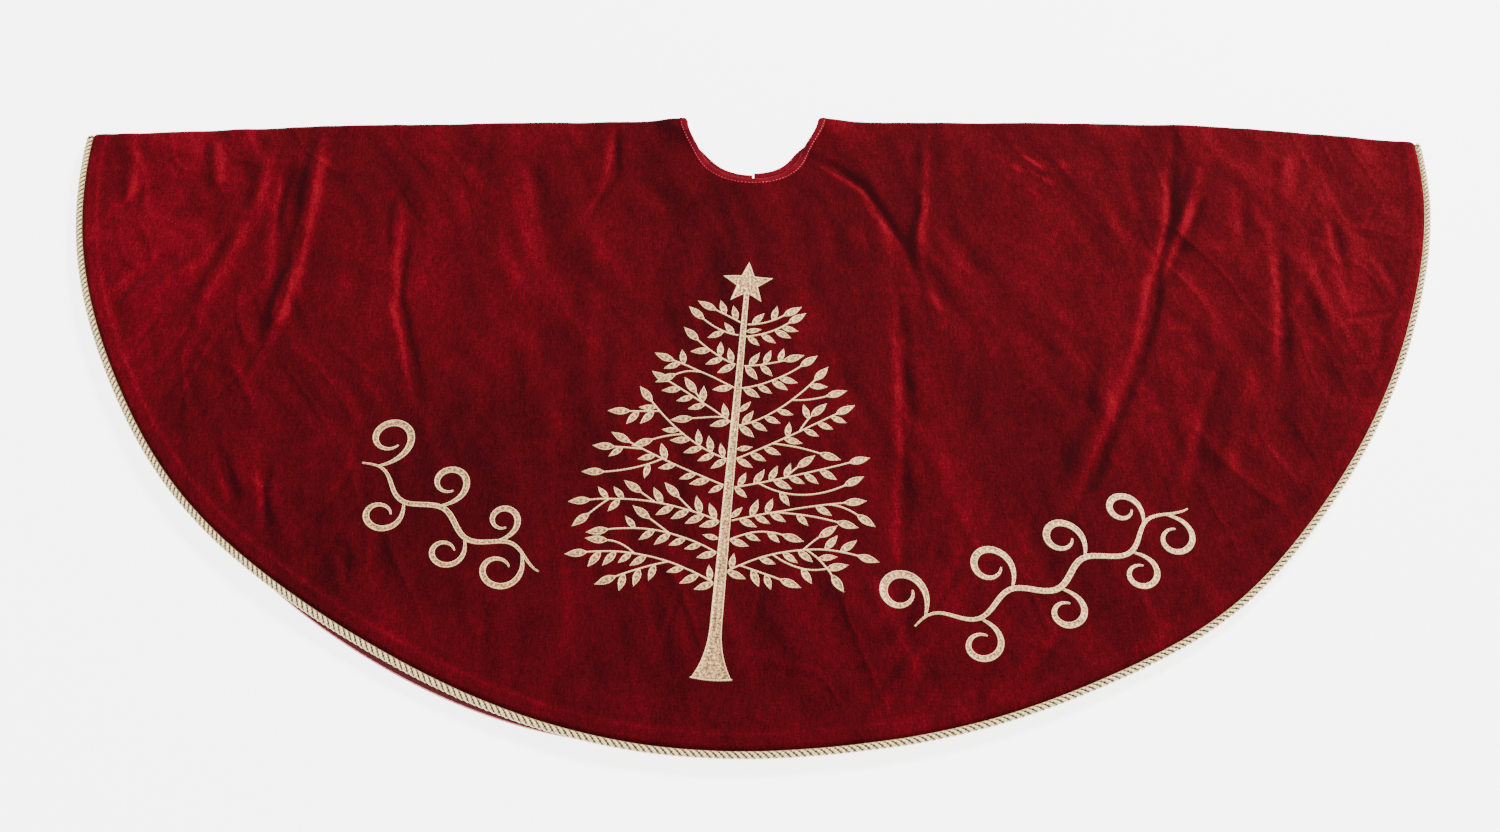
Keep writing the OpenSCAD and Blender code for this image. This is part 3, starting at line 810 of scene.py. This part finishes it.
def dash(path, width, height):
    """One stitch: a low rounded bead along two points, as a grid of 4 by 3 points."""
    a, b = path
    along = b - a
    across = np.array([-along[1], along[0], 0]) / np.linalg.norm(along[:2]) * width / 2
    rows = []
    for t, lift in ((0.0, 0.1), (0.3, 1.0), (0.7, 1.0), (1.0, 0.1)):
        mid = a + along * t
        rows.append([mid - across, mid + np.array([0, 0, height * lift]), mid + across])
    return np.array(rows)


def stitches(name, line, pitch, body, phi=0.0, slot="binding"):
    """Top stitching along a line of flat points."""
    parts = []
    along = np.concatenate([[0], np.cumsum(np.linalg.norm(np.diff(line, axis=0), axis=1))])
    for s in np.arange(0.2 * pitch, along[-1] - pitch, pitch):
        ends = np.array([[np.interp(v, along, line[:, k]) for k in range(3)] for v in (s, s + 0.68 * pitch)])
        flat = dash(ends, 0.7 * MM, 0.35 * MM)
        faces = grid_faces(4, 3)
        parts.append((lay(flat, phi), faces, flat[..., :2], np.zeros(len(faces))))
    points, faces, uv, slots = join_parts(parts)
    piece = make_piece(name, points, faces, [STITCH], uv=uv, slots=slots, flip=True)
    return ride(piece, body, slot)


def make_stitching():
    r = BAND_R - 1.0 * MM
    x, y = front_arc(r, 160)
    line = np.stack([x, y, np.full_like(x, TOP_Z + 0.25 * MM)], -1)
    stitches("front_hole_stitching", line, 3.2 * MM, FRONT)
    for side, tag in SIDES.items():
        v = spaced(BAND_R + 3 * MM, HEM_R - 4 * MM, 20 * MM)
        edge = side * (SLIT_X + BAND_W - 1.0 * MM)
        line = np.stack([np.full_like(v, edge), v, np.full_like(v, TOP_Z + 0.25 * MM)], -1)
        stitches(f"back_{tag}_slit_stitching", line, 3.2 * MM, BACK[side], math.pi)


# ---- cord ----

LAY_L = 16.2 * MM
STRANDS = 3
STRAND_R = CORD_R / (1 + 2 / math.sqrt(3)) * 1.02
HELIX_R = CORD_R - STRAND_R
TURN_R = CORD_Z - AXIS_Z
RING_STEP = 1.05 * MM
STRAND_SIDES = 9


def cord_line():
    """The hem's line from slit edge to slit edge: its parts' arc lengths, and a call for any point."""
    over = math.asin(FOLD_Y / CORD_RING)
    gap = math.asin(SLIT_X / CORD_RING)
    back_l = CORD_RING * (math.pi / 2 - over - gap)
    turn_l = math.pi * TURN_R
    front_l = CORD_RING * (math.pi + 2 * over)
    total = 2 * back_l + 2 * turn_l + front_l
    marks = {"turn_right": back_l, "front_right": back_l + turn_l, "front_left": back_l + turn_l + front_l,
             "turn_left": back_l + 2 * turn_l + front_l, "end": total}

    def at(s):
        s = np.asarray(s, float)
        parts = [s < marks[key] for key in ("turn_right", "front_right", "front_left", "turn_left")]
        angle = np.select(
            parts,
            [math.pi / 2 - gap - s / CORD_RING, over,
             over - (s - marks["front_right"]) / CORD_RING, -math.pi - over],
            -math.pi - over - (s - marks["turn_left"]) / CORD_RING)
        turn = np.select(
            parts,
            [math.pi, math.pi - (s - marks["turn_right"]) / TURN_R, 0.0, (s - marks["front_left"]) / TURN_R],
            math.pi)
        return angle, np.clip(turn, 0, math.pi)

    return marks, at


CORD_MARKS, cord_at = cord_line()


def cord_frame(s):
    """Centre, outward and upward directions of the cord at arc lengths s, where it lies."""
    angle, turn = cord_at(s)
    h = 0.4 * MM
    z = CORD_Z

    def placed(r, up):
        flat = np.stack([r * np.cos(angle), r * np.sin(angle), np.full_like(angle, z + up)], -1)
        in_turn = (turn > 1e-6) & (turn < math.pi - 1e-6)
        flat[in_turn, 1] = FOLD_Y
        return lay_cord(flat, turn)

    centre = placed(CORD_RING, 0.0)
    out = placed(CORD_RING + h, 0.0) - placed(CORD_RING - h, 0.0)
    out /= np.linalg.norm(out, axis=1, keepdims=True)
    ahead = np.gradient(centre, axis=0)
    ahead /= np.linalg.norm(ahead, axis=1, keepdims=True)
    out -= (out * ahead).sum(1, keepdims=True) * ahead
    out /= np.linalg.norm(out, axis=1, keepdims=True)
    return centre, out, np.cross(ahead, out)


def lay_cord(flat, turn):
    """The cord follows the hem's edge, so its height is that of the cloth at the edge."""
    edge = flat.copy()
    r = np.hypot(flat[..., 0], flat[..., 1])
    k = (HEM_R - 6 * MM) / r
    on_cloth = lay(np.stack([flat[..., 0] * k, flat[..., 1] * k, flat[..., 2]], -1), turn)
    beyond = lay(edge, turn)
    beyond[..., 2] = np.where((turn < 1e-6) | (turn > math.pi - 1e-6), on_cloth[..., 2], beyond[..., 2])
    return beyond


def rope_piece(name, s0, s1):
    """The twisted cord from one arc length to another, its strands in step all the way round."""
    s = spaced(s0, s1, RING_STEP)
    centre, out, up = cord_frame(s)
    parts, outward = [], []
    sides = np.arange(STRAND_SIDES) / STRAND_SIDES * 2 * math.pi
    for strand in range(STRANDS):
        twist = 2 * math.pi * (s / LAY_L + strand / STRANDS)
        c, v = np.cos(twist)[:, None], np.sin(twist)[:, None]
        lead = c * out + v * up
        middle = centre + HELIX_R * lead
        ahead = np.gradient(middle, axis=0)
        ahead /= np.linalg.norm(ahead, axis=1, keepdims=True)
        first = lead - (lead * ahead).sum(1, keepdims=True) * ahead
        first /= np.linalg.norm(first, axis=1, keepdims=True)
        second = np.cross(ahead, first)
        ring = middle[:, None] + STRAND_R * (np.cos(sides)[None, :, None] * first[:, None]
                                             + np.sin(sides)[None, :, None] * second[:, None])
        uv = np.stack(np.broadcast_arrays(s[:, None] * 1.6, (sides * STRAND_R)[None, :]), -1)
        faces = grid_faces(len(s), STRAND_SIDES, close_cols=True)
        parts.append((ring, faces, uv, np.zeros(len(faces))))
        # Each point's distance from the cord's centre, which the cord's finish turns into painted shade
        # towards its core.
        outward.append(np.linalg.norm(ring - centre[:, None], axis=-1).ravel() / CORD_R)
    points, faces, uv, slots = join_parts(parts)
    values = {"outward": np.concatenate(outward)}
    return make_piece(name, points, faces, [CORD], uv=uv, slots=slots, values=values)


def make_cords():
    m = CORD_MARKS
    front = rope_piece("front_hem_cord", m["front_right"], m["front_left"])
    ride(front, FRONT, "cord", "front_cord")
    spans = {1: (WRAP_L, m["turn_right"], m["turn_right"], m["front_right"]),
             -1: (m["turn_left"], m["end"] - WRAP_L, m["front_left"], m["turn_left"])}
    for side, (a, b, c, d) in spans.items():
        tag = SIDES[side]
        ride(rope_piece(f"back_{tag}_hem_cord", a, b), BACK[side], "cord", f"back_{tag}_cord")
        turn = rope_piece(f"{tag}_cord_bend", c, d)
        blend_fold(turn, side, "cord", f"{tag}_cord_turn")


def make_cord_end(side):
    """The cord's end, bound round with thread."""
    tag = SIDES[side]
    end = CORD_MARKS["end"]
    s = spaced(0.2 * MM, WRAP_L + 1 * MM, 0.25 * MM)
    if side < 0:
        s = end - s
    centre, out, up = cord_frame(np.sort(s))
    if side < 0:
        centre, out, up = centre[::-1], out[::-1], up[::-1]
    far = np.linspace(0, 1, len(s))
    radius = CORD_R * 0.97 * np.sqrt(np.clip(1 - (1 - np.clip(far / 0.22, 0, 1)) ** 2, 0.02, 1))
    radius *= 1 - 0.05 * np.cos(far * WRAP_L / (0.9 * MM) * 2 * math.pi) ** 2
    a = np.arange(18) / 18 * 2 * math.pi
    ring = centre[:, None] + radius[:, None, None] * (np.cos(a)[None, :, None] * out[:, None]
                                                      + np.sin(a)[None, :, None] * up[:, None])
    uv = np.stack(np.broadcast_arrays((far * WRAP_L)[:, None], (a * CORD_R)[None, :]), -1)
    piece = make_piece(f"back_{tag}_cord_whipping", ring, grid_faces(len(s), 18, close_cols=True), [TAPE],
                       uv=uv, flip=side > 0)
    return ride(piece, BACK[side], "cord_tape", f"back_{tag}_cord_end")


def make_tapes():
    """The woven tape in the hem seam, just inside the cord."""
    profile = [(12, 2.2), (0.2, 2.2), (-1.4, 2.6), (-1.4, 3.2), (0.2, 3.2), (12, 3.6)]
    rows = [(HEM_R - inward * MM, depth * MM) for inward, depth in profile]
    sheets = {"front": (front_sheet(rows, 300, 0), FRONT, True)}
    for side, tag in SIDES.items():
        sheets[f"back_{tag}"] = (back_sheet(rows, 150, side, SLIT_X + WRAP_L), BACK[side], side > 0)
    for tag, ((flat, phi), body, flip) in sheets.items():
        faces = grid_faces(*phi.shape, close_rows=True)
        piece = make_piece(f"{tag}_hem_tape", lay(flat, phi), faces, [TAPE], uv=flat_uv(flat, phi), flip=flip)
        ride(piece, body, "cord_tape", f"{tag}_cord_tape")


# ---- slit closure ----


def make_patches(side):
    """Three pads of touch tape beside one edge of the slit, each a low pillow with a stitched border."""
    tag, kind = SIDES[side], "hook" if side < 0 else "loop"
    node = f"back_{tag}_{kind}_patches"
    lo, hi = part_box(node)
    length, x0, x1 = 50 * MM, lo.x, hi.x
    first = 2 * FOLD_Y - hi.y
    pitch = (hi.y - lo.y - length) / 2
    outside = TOP_Z + 0.1 * MM if side < 0 else LINING_Z - 0.1 * MM
    outward = 1 if side < 0 else -1
    parts = []
    for k in range(3):
        v0 = first + k * pitch
        xs, ys = spaced(x0, x1, 1.0 * MM), spaced(v0, v0 + length, 1.25 * MM)
        gx, gy = np.meshgrid(xs, ys, indexing="ij")
        inside = np.minimum(np.minimum(gx - x0, x1 - gx), np.minimum(gy - v0, v0 + length - gy))
        lift = 1.0 * MM * smooth(inside / (1.2 * MM))
        lift -= 0.35 * MM * np.exp(-(((inside - 2.4 * MM) / (0.5 * MM)) ** 2))
        lift += 0.12 * MM * noise(gx / 0.0011, gy / 0.0011, 71) * (inside > 3 * MM)
        flat = np.stack([gx, gy, outside + outward * (lift - 0.4 * MM)], -1)
        faces = grid_faces(*gx.shape)
        parts.append((lay(flat, math.pi), faces, flat[..., :2], np.zeros(len(faces))))
    points, faces, uv, slots = join_parts(parts)
    material = HOOKS if side < 0 else LOOPS
    piece = make_piece(f"back_{tag}_{kind}_pads", points, faces, [material], uv=uv, slots=slots,
                       flip=outward > 0)
    return ride(piece, BACK[side], f"{kind}_tape", node)


# ---- embroidery ----

TREE_TURN = math.radians(4.2)
TREE_SHIFT = 8 * MM
STAR_V = 178 * MM
STAR_R = 23 * MM
FOOT_V = 549 * MM
FOOT_W = 32 * MM
FLARE_V = FOOT_V - 52 * MM
TRUNK_TOP_V = STAR_V + STAR_R * 0.4
TRUNK_TOP_W = 4.4 * MM
TRUNK_LOW_W = 9.5 * MM
LEAF_L = 16.5
LEAF_W = 6.4
STEM_W = 1.6
LEAF_STEP = 6.5
LEAF_GAP, STEM_GAP, TRUNK_GAP = 7.2, 3.3, 8
FIRST_LEAF_V, LAST_LEAF_V = 228, 470
RIM_W = 0.85 * MM
SINK = 0.9 * MM

# Branches from the top down, in millimetres: how far from the hole's centre each leaves the trunk, its
# reach, and the heights of its middle and of its tip above where it leaves
BRANCHES = {
    -1: [(221, 25, 8, 14), (232, 35, 0, 15), (263, 38, 6, 24), (286, 57, 14, 25), (321, 59, 21, 39),
         (355, 72, 9, 54), (380, 86, 15, 37), (414, 113, 24, 13), (443, 95, 28, 16), (470, 110, 33, 21)],
    1: [(221, 34, 0, 12), (233, 39, 1, 17), (263, 37, 1, 8), (285, 52, 3, 26), (322, 65, 7, 51),
        (355, 85, 23, 51), (381, 98, 13, 31), (412, 96, 16, 24), (431, 47, 17, 10), (459, 109, 37, 23)],
}
# Twigs: the branch, how far along it, the twig's reach, and the heights of its middle and its tip
TWIGS = {
    -1: [(3, 0.55, 22, 2, -4), (4, 0.48, 6, 5, 9), (4, 0.16, 26, -1, -3), (5, 0.87, 25, -1, -2),
         (5, 0.57, 25, -1, -7), (6, 0.85, 23, 0, 0), (6, 0.65, 47, -14, -16), (7, 0.84, 15, -7, -15),
         (7, 0.51, 12, 4, 8), (7, 0.24, 12, 6, 12), (8, 0.46, 17, 6, 12), (9, 0.63, 23, 10, 10),
         (9, 0.38, 41, -6, -17)],
    1: [(4, 0.7, 29, 0, 6), (5, 0.63, 9, 10, 15), (5, 0.38, 40, -1, -7), (6, 0.46, 9, 6, 10),
        (6, 0.24, 71, -19, 3), (7, 0.4, 51, 0, -6), (7, 0.84, 24, 0, -8), (9, 0.58, 12, 7, 12),
        (9, 0.36, 44, -16, -10), (9, 0.6, 22, -6, -22), (9, 0.13, 33, -5, -11)],
}


def mix(a, b, t):
    return a + (b - a) * t


def chance(seed):
    n = math.sin(math.radians(seed * 77.7)) * 431.7
    return n - math.floor(n)


def stem_from(foot, reach, middle, rise):
    """A stem is a curve with a foot, a middle point that it leans towards, and a tip."""
    foot = np.array(foot, float)
    return foot, foot + (reach / 2, middle), foot + (reach, rise)


def on_stem(stem, t):
    return stem[0] * (1 - t) ** 2 + stem[1] * 2 * t * (1 - t) + stem[2] * t * t


def heading(stem, t):
    d = (stem[1] - stem[0]) * (1 - t) + (stem[2] - stem[1]) * t
    return math.degrees(math.atan2(d[1], d[0]))


def make_stems(side):
    main = [stem_from((0, -v), *shape) for v, *shape in BRANCHES[side]]
    return main + [stem_from(on_stem(main[i], t), *shape) for i, t, *shape in TWIGS[side]]


def leaf_spot(leaf, t):
    """A point of a leaf, which is its foot's x and y, its direction and its length."""
    a = math.radians(leaf[2])
    return np.array([leaf[0] + leaf[3] * t * math.cos(a), leaf[1] + leaf[3] * t * math.sin(a)])


def side_leaves(stems):
    leaves = []
    for i, stem in enumerate(stems):
        count = math.ceil(np.linalg.norm(stem[2] - stem[0]) / LEAF_STEP)
        for k in range(1, count):
            for edge in (1, -1):
                seed, t = 40 * i + 3 * k + edge, (k + 0.25 * edge) / count
                turn = heading(stem, t) + edge * mix(40, 58, chance(seed))
                leaves.append((*on_stem(stem, t), turn, LEAF_L * mix(0.84, 1.05, chance(seed + 0.5))))
    return leaves


def trunk_leaves():
    return [(trunk_w(v * MM) / MM / 2, -v, a, LEAF_L * 0.8)
            for v in range(FIRST_LEAF_V, LAST_LEAF_V + 1, 4) for a in (12, 30, 50)]


def grow_leaves(stems):
    """Leaves at the tips, then others wherever there is room beside the ones before."""
    kept = [(*on_stem(stem, 0.97), heading(stem, 1), LEAF_L * 1.12) for stem in stems]
    taken = [leaf_spot(leaf, t) for leaf in kept for t in (0.3, 0.65, 1)]
    lines = np.array([on_stem(stem, k / 24) for stem in stems for k in range(25)])
    for leaf in side_leaves(stems) + trunk_leaves():
        spots = [leaf_spot(leaf, t) for t in (0.3, 0.65, 1)]
        apart = min(np.linalg.norm(np.array(taken) - spot, axis=1).min() for spot in spots)
        off = min(np.linalg.norm(lines - leaf_spot(leaf, t), axis=1).min() for t in (0.6, 1))
        if spots[-1][0] > TRUNK_GAP and apart >= LEAF_GAP and off >= STEM_GAP:
            kept.append(leaf)
            taken += spots
    return kept


def trunk_w(v):
    if v < FLARE_V:
        return mix(TRUNK_TOP_W, TRUNK_LOW_W, (v - TRUNK_TOP_V) / (FLARE_V - TRUNK_TOP_V))
    return mix(TRUNK_LOW_W, FOOT_W, ((v - FLARE_V) / (FOOT_V - FLARE_V)) ** 2.6)


def in_tree_frame(plan):
    c, s = math.cos(-TREE_TURN), math.sin(-TREE_TURN)
    x, y = plan[..., 0], plan[..., 1]
    return np.stack([c * x - s * y + TREE_SHIFT, s * x + c * y], -1)


def across(spine):
    """Unit normals of a plan line."""
    d = np.gradient(spine, axis=0)
    n = np.stack([-d[:, 1], d[:, 0]], -1)
    return n / np.maximum(np.linalg.norm(n, axis=1, keepdims=True), 1e-9)


def stroke(spine, half, place, filled=True, normals=None):
    """A raised ribbon of stitching: a satin rim on both sides, and a lower fill where it is wide enough."""
    spine, half = np.asarray(spine, float), np.asarray(half, float)
    normal = across(spine) if normals is None else normals
    length = np.concatenate([[0], np.cumsum(np.linalg.norm(np.diff(spine, axis=0), axis=1))])
    if filled:
        rim = np.minimum(RIM_W, half * 0.5)
        inner = half - rim
        offsets = [-half, -half + 0.12 * rim, -half + 0.5 * rim, -inner, -0.5 * inner, 0 * half,
                   0.5 * inner, inner, half - 0.5 * rim, half - 0.12 * rim, half]
        lifts = [-SINK, 0.45 * THREAD_T, THREAD_T, 0.42 * THREAD_T, 0.52 * THREAD_T, 0.58 * THREAD_T,
                 0.52 * THREAD_T, 0.42 * THREAD_T, THREAD_T, 0.45 * THREAD_T, -SINK]
        kinds = [0, 0, 0, 1, 1, 1, 1, 0, 0, 0]
    else:
        offsets = [-half, -0.85 * half, -0.45 * half, 0 * half, 0.45 * half, 0.85 * half, half]
        lifts = [-SINK, 0.35 * THREAD_T, 0.85 * THREAD_T, THREAD_T, 0.85 * THREAD_T, 0.35 * THREAD_T, -SINK]
        kinds = [0] * 6
    points, uv = [], []
    for off, lift in zip(offsets, lifts):
        plan = place(spine + normal * off[:, None])
        points.append(np.concatenate([plan, np.full((len(plan), 1), TOP_Z + lift)], 1))
        uv.append(np.stack([length, off], -1))
    points, uv = np.array(points), np.array(uv)
    faces = grid_faces(*points.shape[:2])
    slots = np.repeat(kinds, points.shape[1] - 1)
    return lay(points), faces[:, ::-1], uv, slots


def leaf_stroke(leaf, mirror, place):
    length = leaf[3]
    t = np.array([0, 0.06, 0.16, 0.3, 0.45, 0.6, 0.74, 0.86, 0.95, 1.0])
    half = LEAF_W / 2 * np.sin(math.pi * t**0.85) * length / LEAF_L * MM
    spine = np.array([leaf_spot(leaf, k) for k in t]) * MM
    spine[:, 0] *= mirror
    return stroke(spine, np.maximum(half, 0.12 * MM), place)


def embroidery_piece(name, parts, node):
    points, faces, uv, slots = join_parts(parts)
    piece = make_piece(name, points, faces, [SATIN, FILL], uv=uv, slots=slots, flip=False)
    return ride(piece, FRONT, "gold_thread", node)


def make_branches(side):
    parts = []
    stems = make_stems(side)
    for i, stem in enumerate(stems):
        spine = np.array([on_stem(stem, k / 20) for k in range(21)]) * MM
        if i < len(BRANCHES[side]):
            spine = spine[spine[:, 0] > 0.35 * trunk_w(-spine[0, 1])]
        spine[:, 0] *= side
        parts.append(stroke(spine, np.full(len(spine), STEM_W / 2 * MM), in_tree_frame, False))
    parts += [leaf_stroke(leaf, side, in_tree_frame) for leaf in grow_leaves(stems)]
    tag = SIDES[side]
    return embroidery_piece(f"{tag}_branch_stitching", parts, f"{tag}_branch_embroidery")


def make_trunk():
    v = np.concatenate([spaced(TRUNK_TOP_V, FLARE_V, 5 * MM), spaced(FLARE_V, FOOT_V - 1 * MM, 2 * MM)[1:]])
    spine = np.stack([0 * v, -v], -1)
    half = np.array([trunk_w(w) / 2 for w in v])
    parts = [stroke(spine, half, in_tree_frame, normals=np.tile([1.0, 0.0], (len(v), 1)))]
    foot = np.array([[x, -FOOT_V + 1.2 * MM * (x / (FOOT_W / 2)) ** 2]
                     for x in spaced(-FOOT_W / 2, FOOT_W / 2, 1.5 * MM)])
    parts.append(stroke(foot, np.full(len(foot), 0.75 * MM), in_tree_frame, False))
    return embroidery_piece("trunk_stitching", parts, "trunk_embroidery")


def make_star():
    """Five points, each two facets of fill inside a satin rim."""
    tips = []
    for i in range(10):
        a, r = math.radians(90 + 36 * i), STAR_R * (1 if i % 2 == 0 else 0.42)
        tips.append((r * math.cos(a), r * math.sin(a)))
    tips = np.array(tips)
    outline = np.concatenate([[mix(tips[i], tips[(i + 1) % 10], k / 6) for k in range(6)] for i in range(10)])
    rings, lifts = [1.0, 0.985, 0.93, 0.87, 0.6, 0.3, 0.02], [-SINK, 0.45, 1.0, 0.42, 0.6, 0.66, 0.7]
    points = []
    for scale, lift in zip(rings, lifts):
        plan = in_tree_frame(outline * scale - np.array([0, STAR_V]))
        z = TOP_Z + (lift if lift < 0 else lift * THREAD_T)
        points.append(np.concatenate([plan, np.full((len(plan), 1), z)], 1))
    points = np.array(points)
    faces = grid_faces(*points.shape[:2], close_cols=True)
    slots = np.repeat([0, 0, 0, 1, 1, 1], points.shape[1])
    part = (lay(points), faces[:, ::-1], points[..., :2], slots)
    return embroidery_piece("star_stitching", [part], "star_embroidery")


# Each curl: distance along the scroll, start angle, length, wind and width
LEFT_CURLS = [(12, 58, 118, 395, 6.5), (52, -52, 84, -370, 5.5), (78, 48, 96, 380, 6),
              (112, -50, 78, -370, 5), (136, 44, 80, 375, 5.5), (160, -56, 92, -360, 5.5)]
RIGHT_CURLS = [(10, 60, 112, 395, 7), (50, -50, 84, -370, 5.5), (84, 50, 100, 380, 6),
               (118, -48, 80, -370, 5.5), (150, 48, 92, 380, 6), (184, -50, 76, -370, 5),
               (208, 44, 78, 375, 5.5), (228, -56, 82, -360, 5)]
WAVE_L, WAVE_H = 66, 7
# Each scroll: curls, length, radius of its arc about the hole, and the angle of its middle
SCROLLS = {-1: (LEFT_CURLS, 180, 482, -121), 1: (RIGHT_CURLS, 246, 518, -62.5)}


def make_scroll(side, curls, length, radius, middle):
    """A scrolling stem that follows the hem, with a curl to each side in turn."""

    def wave(v):
        return np.array([v, WAVE_H * math.sin(v / WAVE_L * 2 * math.pi)])

    def on_arc(plan):
        a = math.radians(middle) + (plan[..., 0] - length / 2) / radius
        r = (radius - plan[..., 1]) * MM
        return np.stack([r * np.cos(a), r * np.sin(a)], -1)

    def swelling(line, width):
        t = np.linspace(0, 1, len(line))
        half = mix(0.7, width / 2, np.sin(math.pi * t) ** 0.8) * MM
        line = on_arc(np.asarray(line))
        return stroke(line, half, lambda plan: plan)

    parts = [swelling([wave(length * k / 60) for k in range(61)], 5)]
    for start, turn, run, wind, width in curls:
        p, a, line = wave(start), turn, []
        for k in range(41):
            line.append(p)
            a = turn + wind * (k / 40) ** 1.5
            p = p + run / 40 * np.array([math.cos(math.radians(a)), math.sin(math.radians(a))])
        parts.append(swelling(line, width))
    tag = SIDES[side]
    return embroidery_piece(f"{tag}_scroll_stitching", parts, f"{tag}_scroll_embroidery")


# ---- camera, light and floor ----

LENS = 42.8
TARGET = (0, -0.300, 0)
DISTANCE = 1.489
# The white backdrop is overexposed in the picture.
FLOOR_GLOW = 4.0
FLOOR_HALF, FLOOR_Z = 14, -1.2 * MM
ELEVATION = math.radians(58.1)


def make_camera():
    data = bpy.data.cameras.new("camera")
    camera = bpy.data.objects.new("camera", data)
    bpy.context.scene.collection.objects.link(camera)
    bpy.context.scene.camera = camera
    data.lens = LENS
    data.sensor_width = 36
    data.shift_x, data.shift_y = -0.0022, -0.0025
    camera.location = (TARGET[0], TARGET[1] - DISTANCE * math.cos(ELEVATION), DISTANCE * math.sin(ELEVATION))
    camera.rotation_euler = (math.pi / 2 - ELEVATION, 0, 0)


def area_light(name, place, size, power, colour):
    data = bpy.data.lights.new(name, "AREA")
    data.size, data.energy, data.color = size, power, colour
    lamp = bpy.data.objects.new(name, data)
    lamp.location = place
    aim = np.array(TARGET) - np.array(place)
    tilt, heading_z = math.acos(-aim[2] / np.linalg.norm(aim)), math.atan2(aim[1], aim[0])
    lamp.rotation_euler = (tilt, 0, heading_z - math.pi / 2)
    bpy.context.scene.collection.objects.link(lamp)


def make_studio():
    floor_mesh = bpy.data.meshes.new("floor")
    corners = [(x, y, FLOOR_Z) for x, y in ((-1, -1), (1, -1), (1, 1), (-1, 1))]
    corners = [(FLOOR_HALF * x, FLOOR_HALF * y, z) for x, y, z in corners]
    floor_mesh.from_pydata(corners, [], [(0, 1, 2, 3)])
    n = Nodes("pale_floor")
    coords = n.add("ShaderNodeTexCoord").outputs["Object"]
    scaled = n.add("ShaderNodeMapping")
    scaled.inputs["Scale"].default_value = (230, 230, 230)
    n.link(coords, scaled.inputs["Vector"])
    pebble = n.noise(scaled.outputs["Vector"], 3.0, 0.6, 12.0)
    tone = n.ramp(pebble, [(0.3, (0.90, 0.91, 0.93)), (0.7, (0.97, 0.97, 0.98))])
    n.link(tone, n.shader.inputs["Base Color"])
    n.bump(pebble, 0.0008, 0.35)
    n.set(Roughness=0.9, Specular_IOR_Level=0.1, Emission_Strength=FLOOR_GLOW)
    n.shader.inputs["Emission Color"].default_value = (1, 1, 1, 1)
    floor_mesh.materials.append(n.material)
    floor = bpy.data.objects.new("floor", floor_mesh)
    bpy.context.scene.collection.objects.link(floor)
    world = bpy.data.worlds.new("studio")
    bpy.context.scene.world = world
    world.use_nodes = True
    world.node_tree.nodes["Background"].inputs["Color"].default_value = (0.93, 0.96, 1.0, 1)
    world.node_tree.nodes["Background"].inputs["Strength"].default_value = 1.15
    area_light("key", (1.9, 1.9, 2.7), 0.9, 360, (1.0, 0.98, 0.95))
    area_light("fill", (-1.2, -1.6, 2.4), 2.5, 26, (0.93, 0.96, 1.0))


# ---- putting it together ----

make_camera()
make_studio()
front_velvet, front_lining, front_wadding = make_front()
backs = {side: make_back(side) for side in SIDES}
for side in SIDES:
    make_fold(side)
make_hole_bindings()
make_lip()
for side in SIDES:
    make_slit_binding(side)
    make_patches(side)
    make_cord_end(side)
    make_branches(side)
make_stitching()
make_cords()
make_tapes()
make_star()
make_trunk()
for side, scroll in SCROLLS.items():
    make_scroll(side, *scroll)
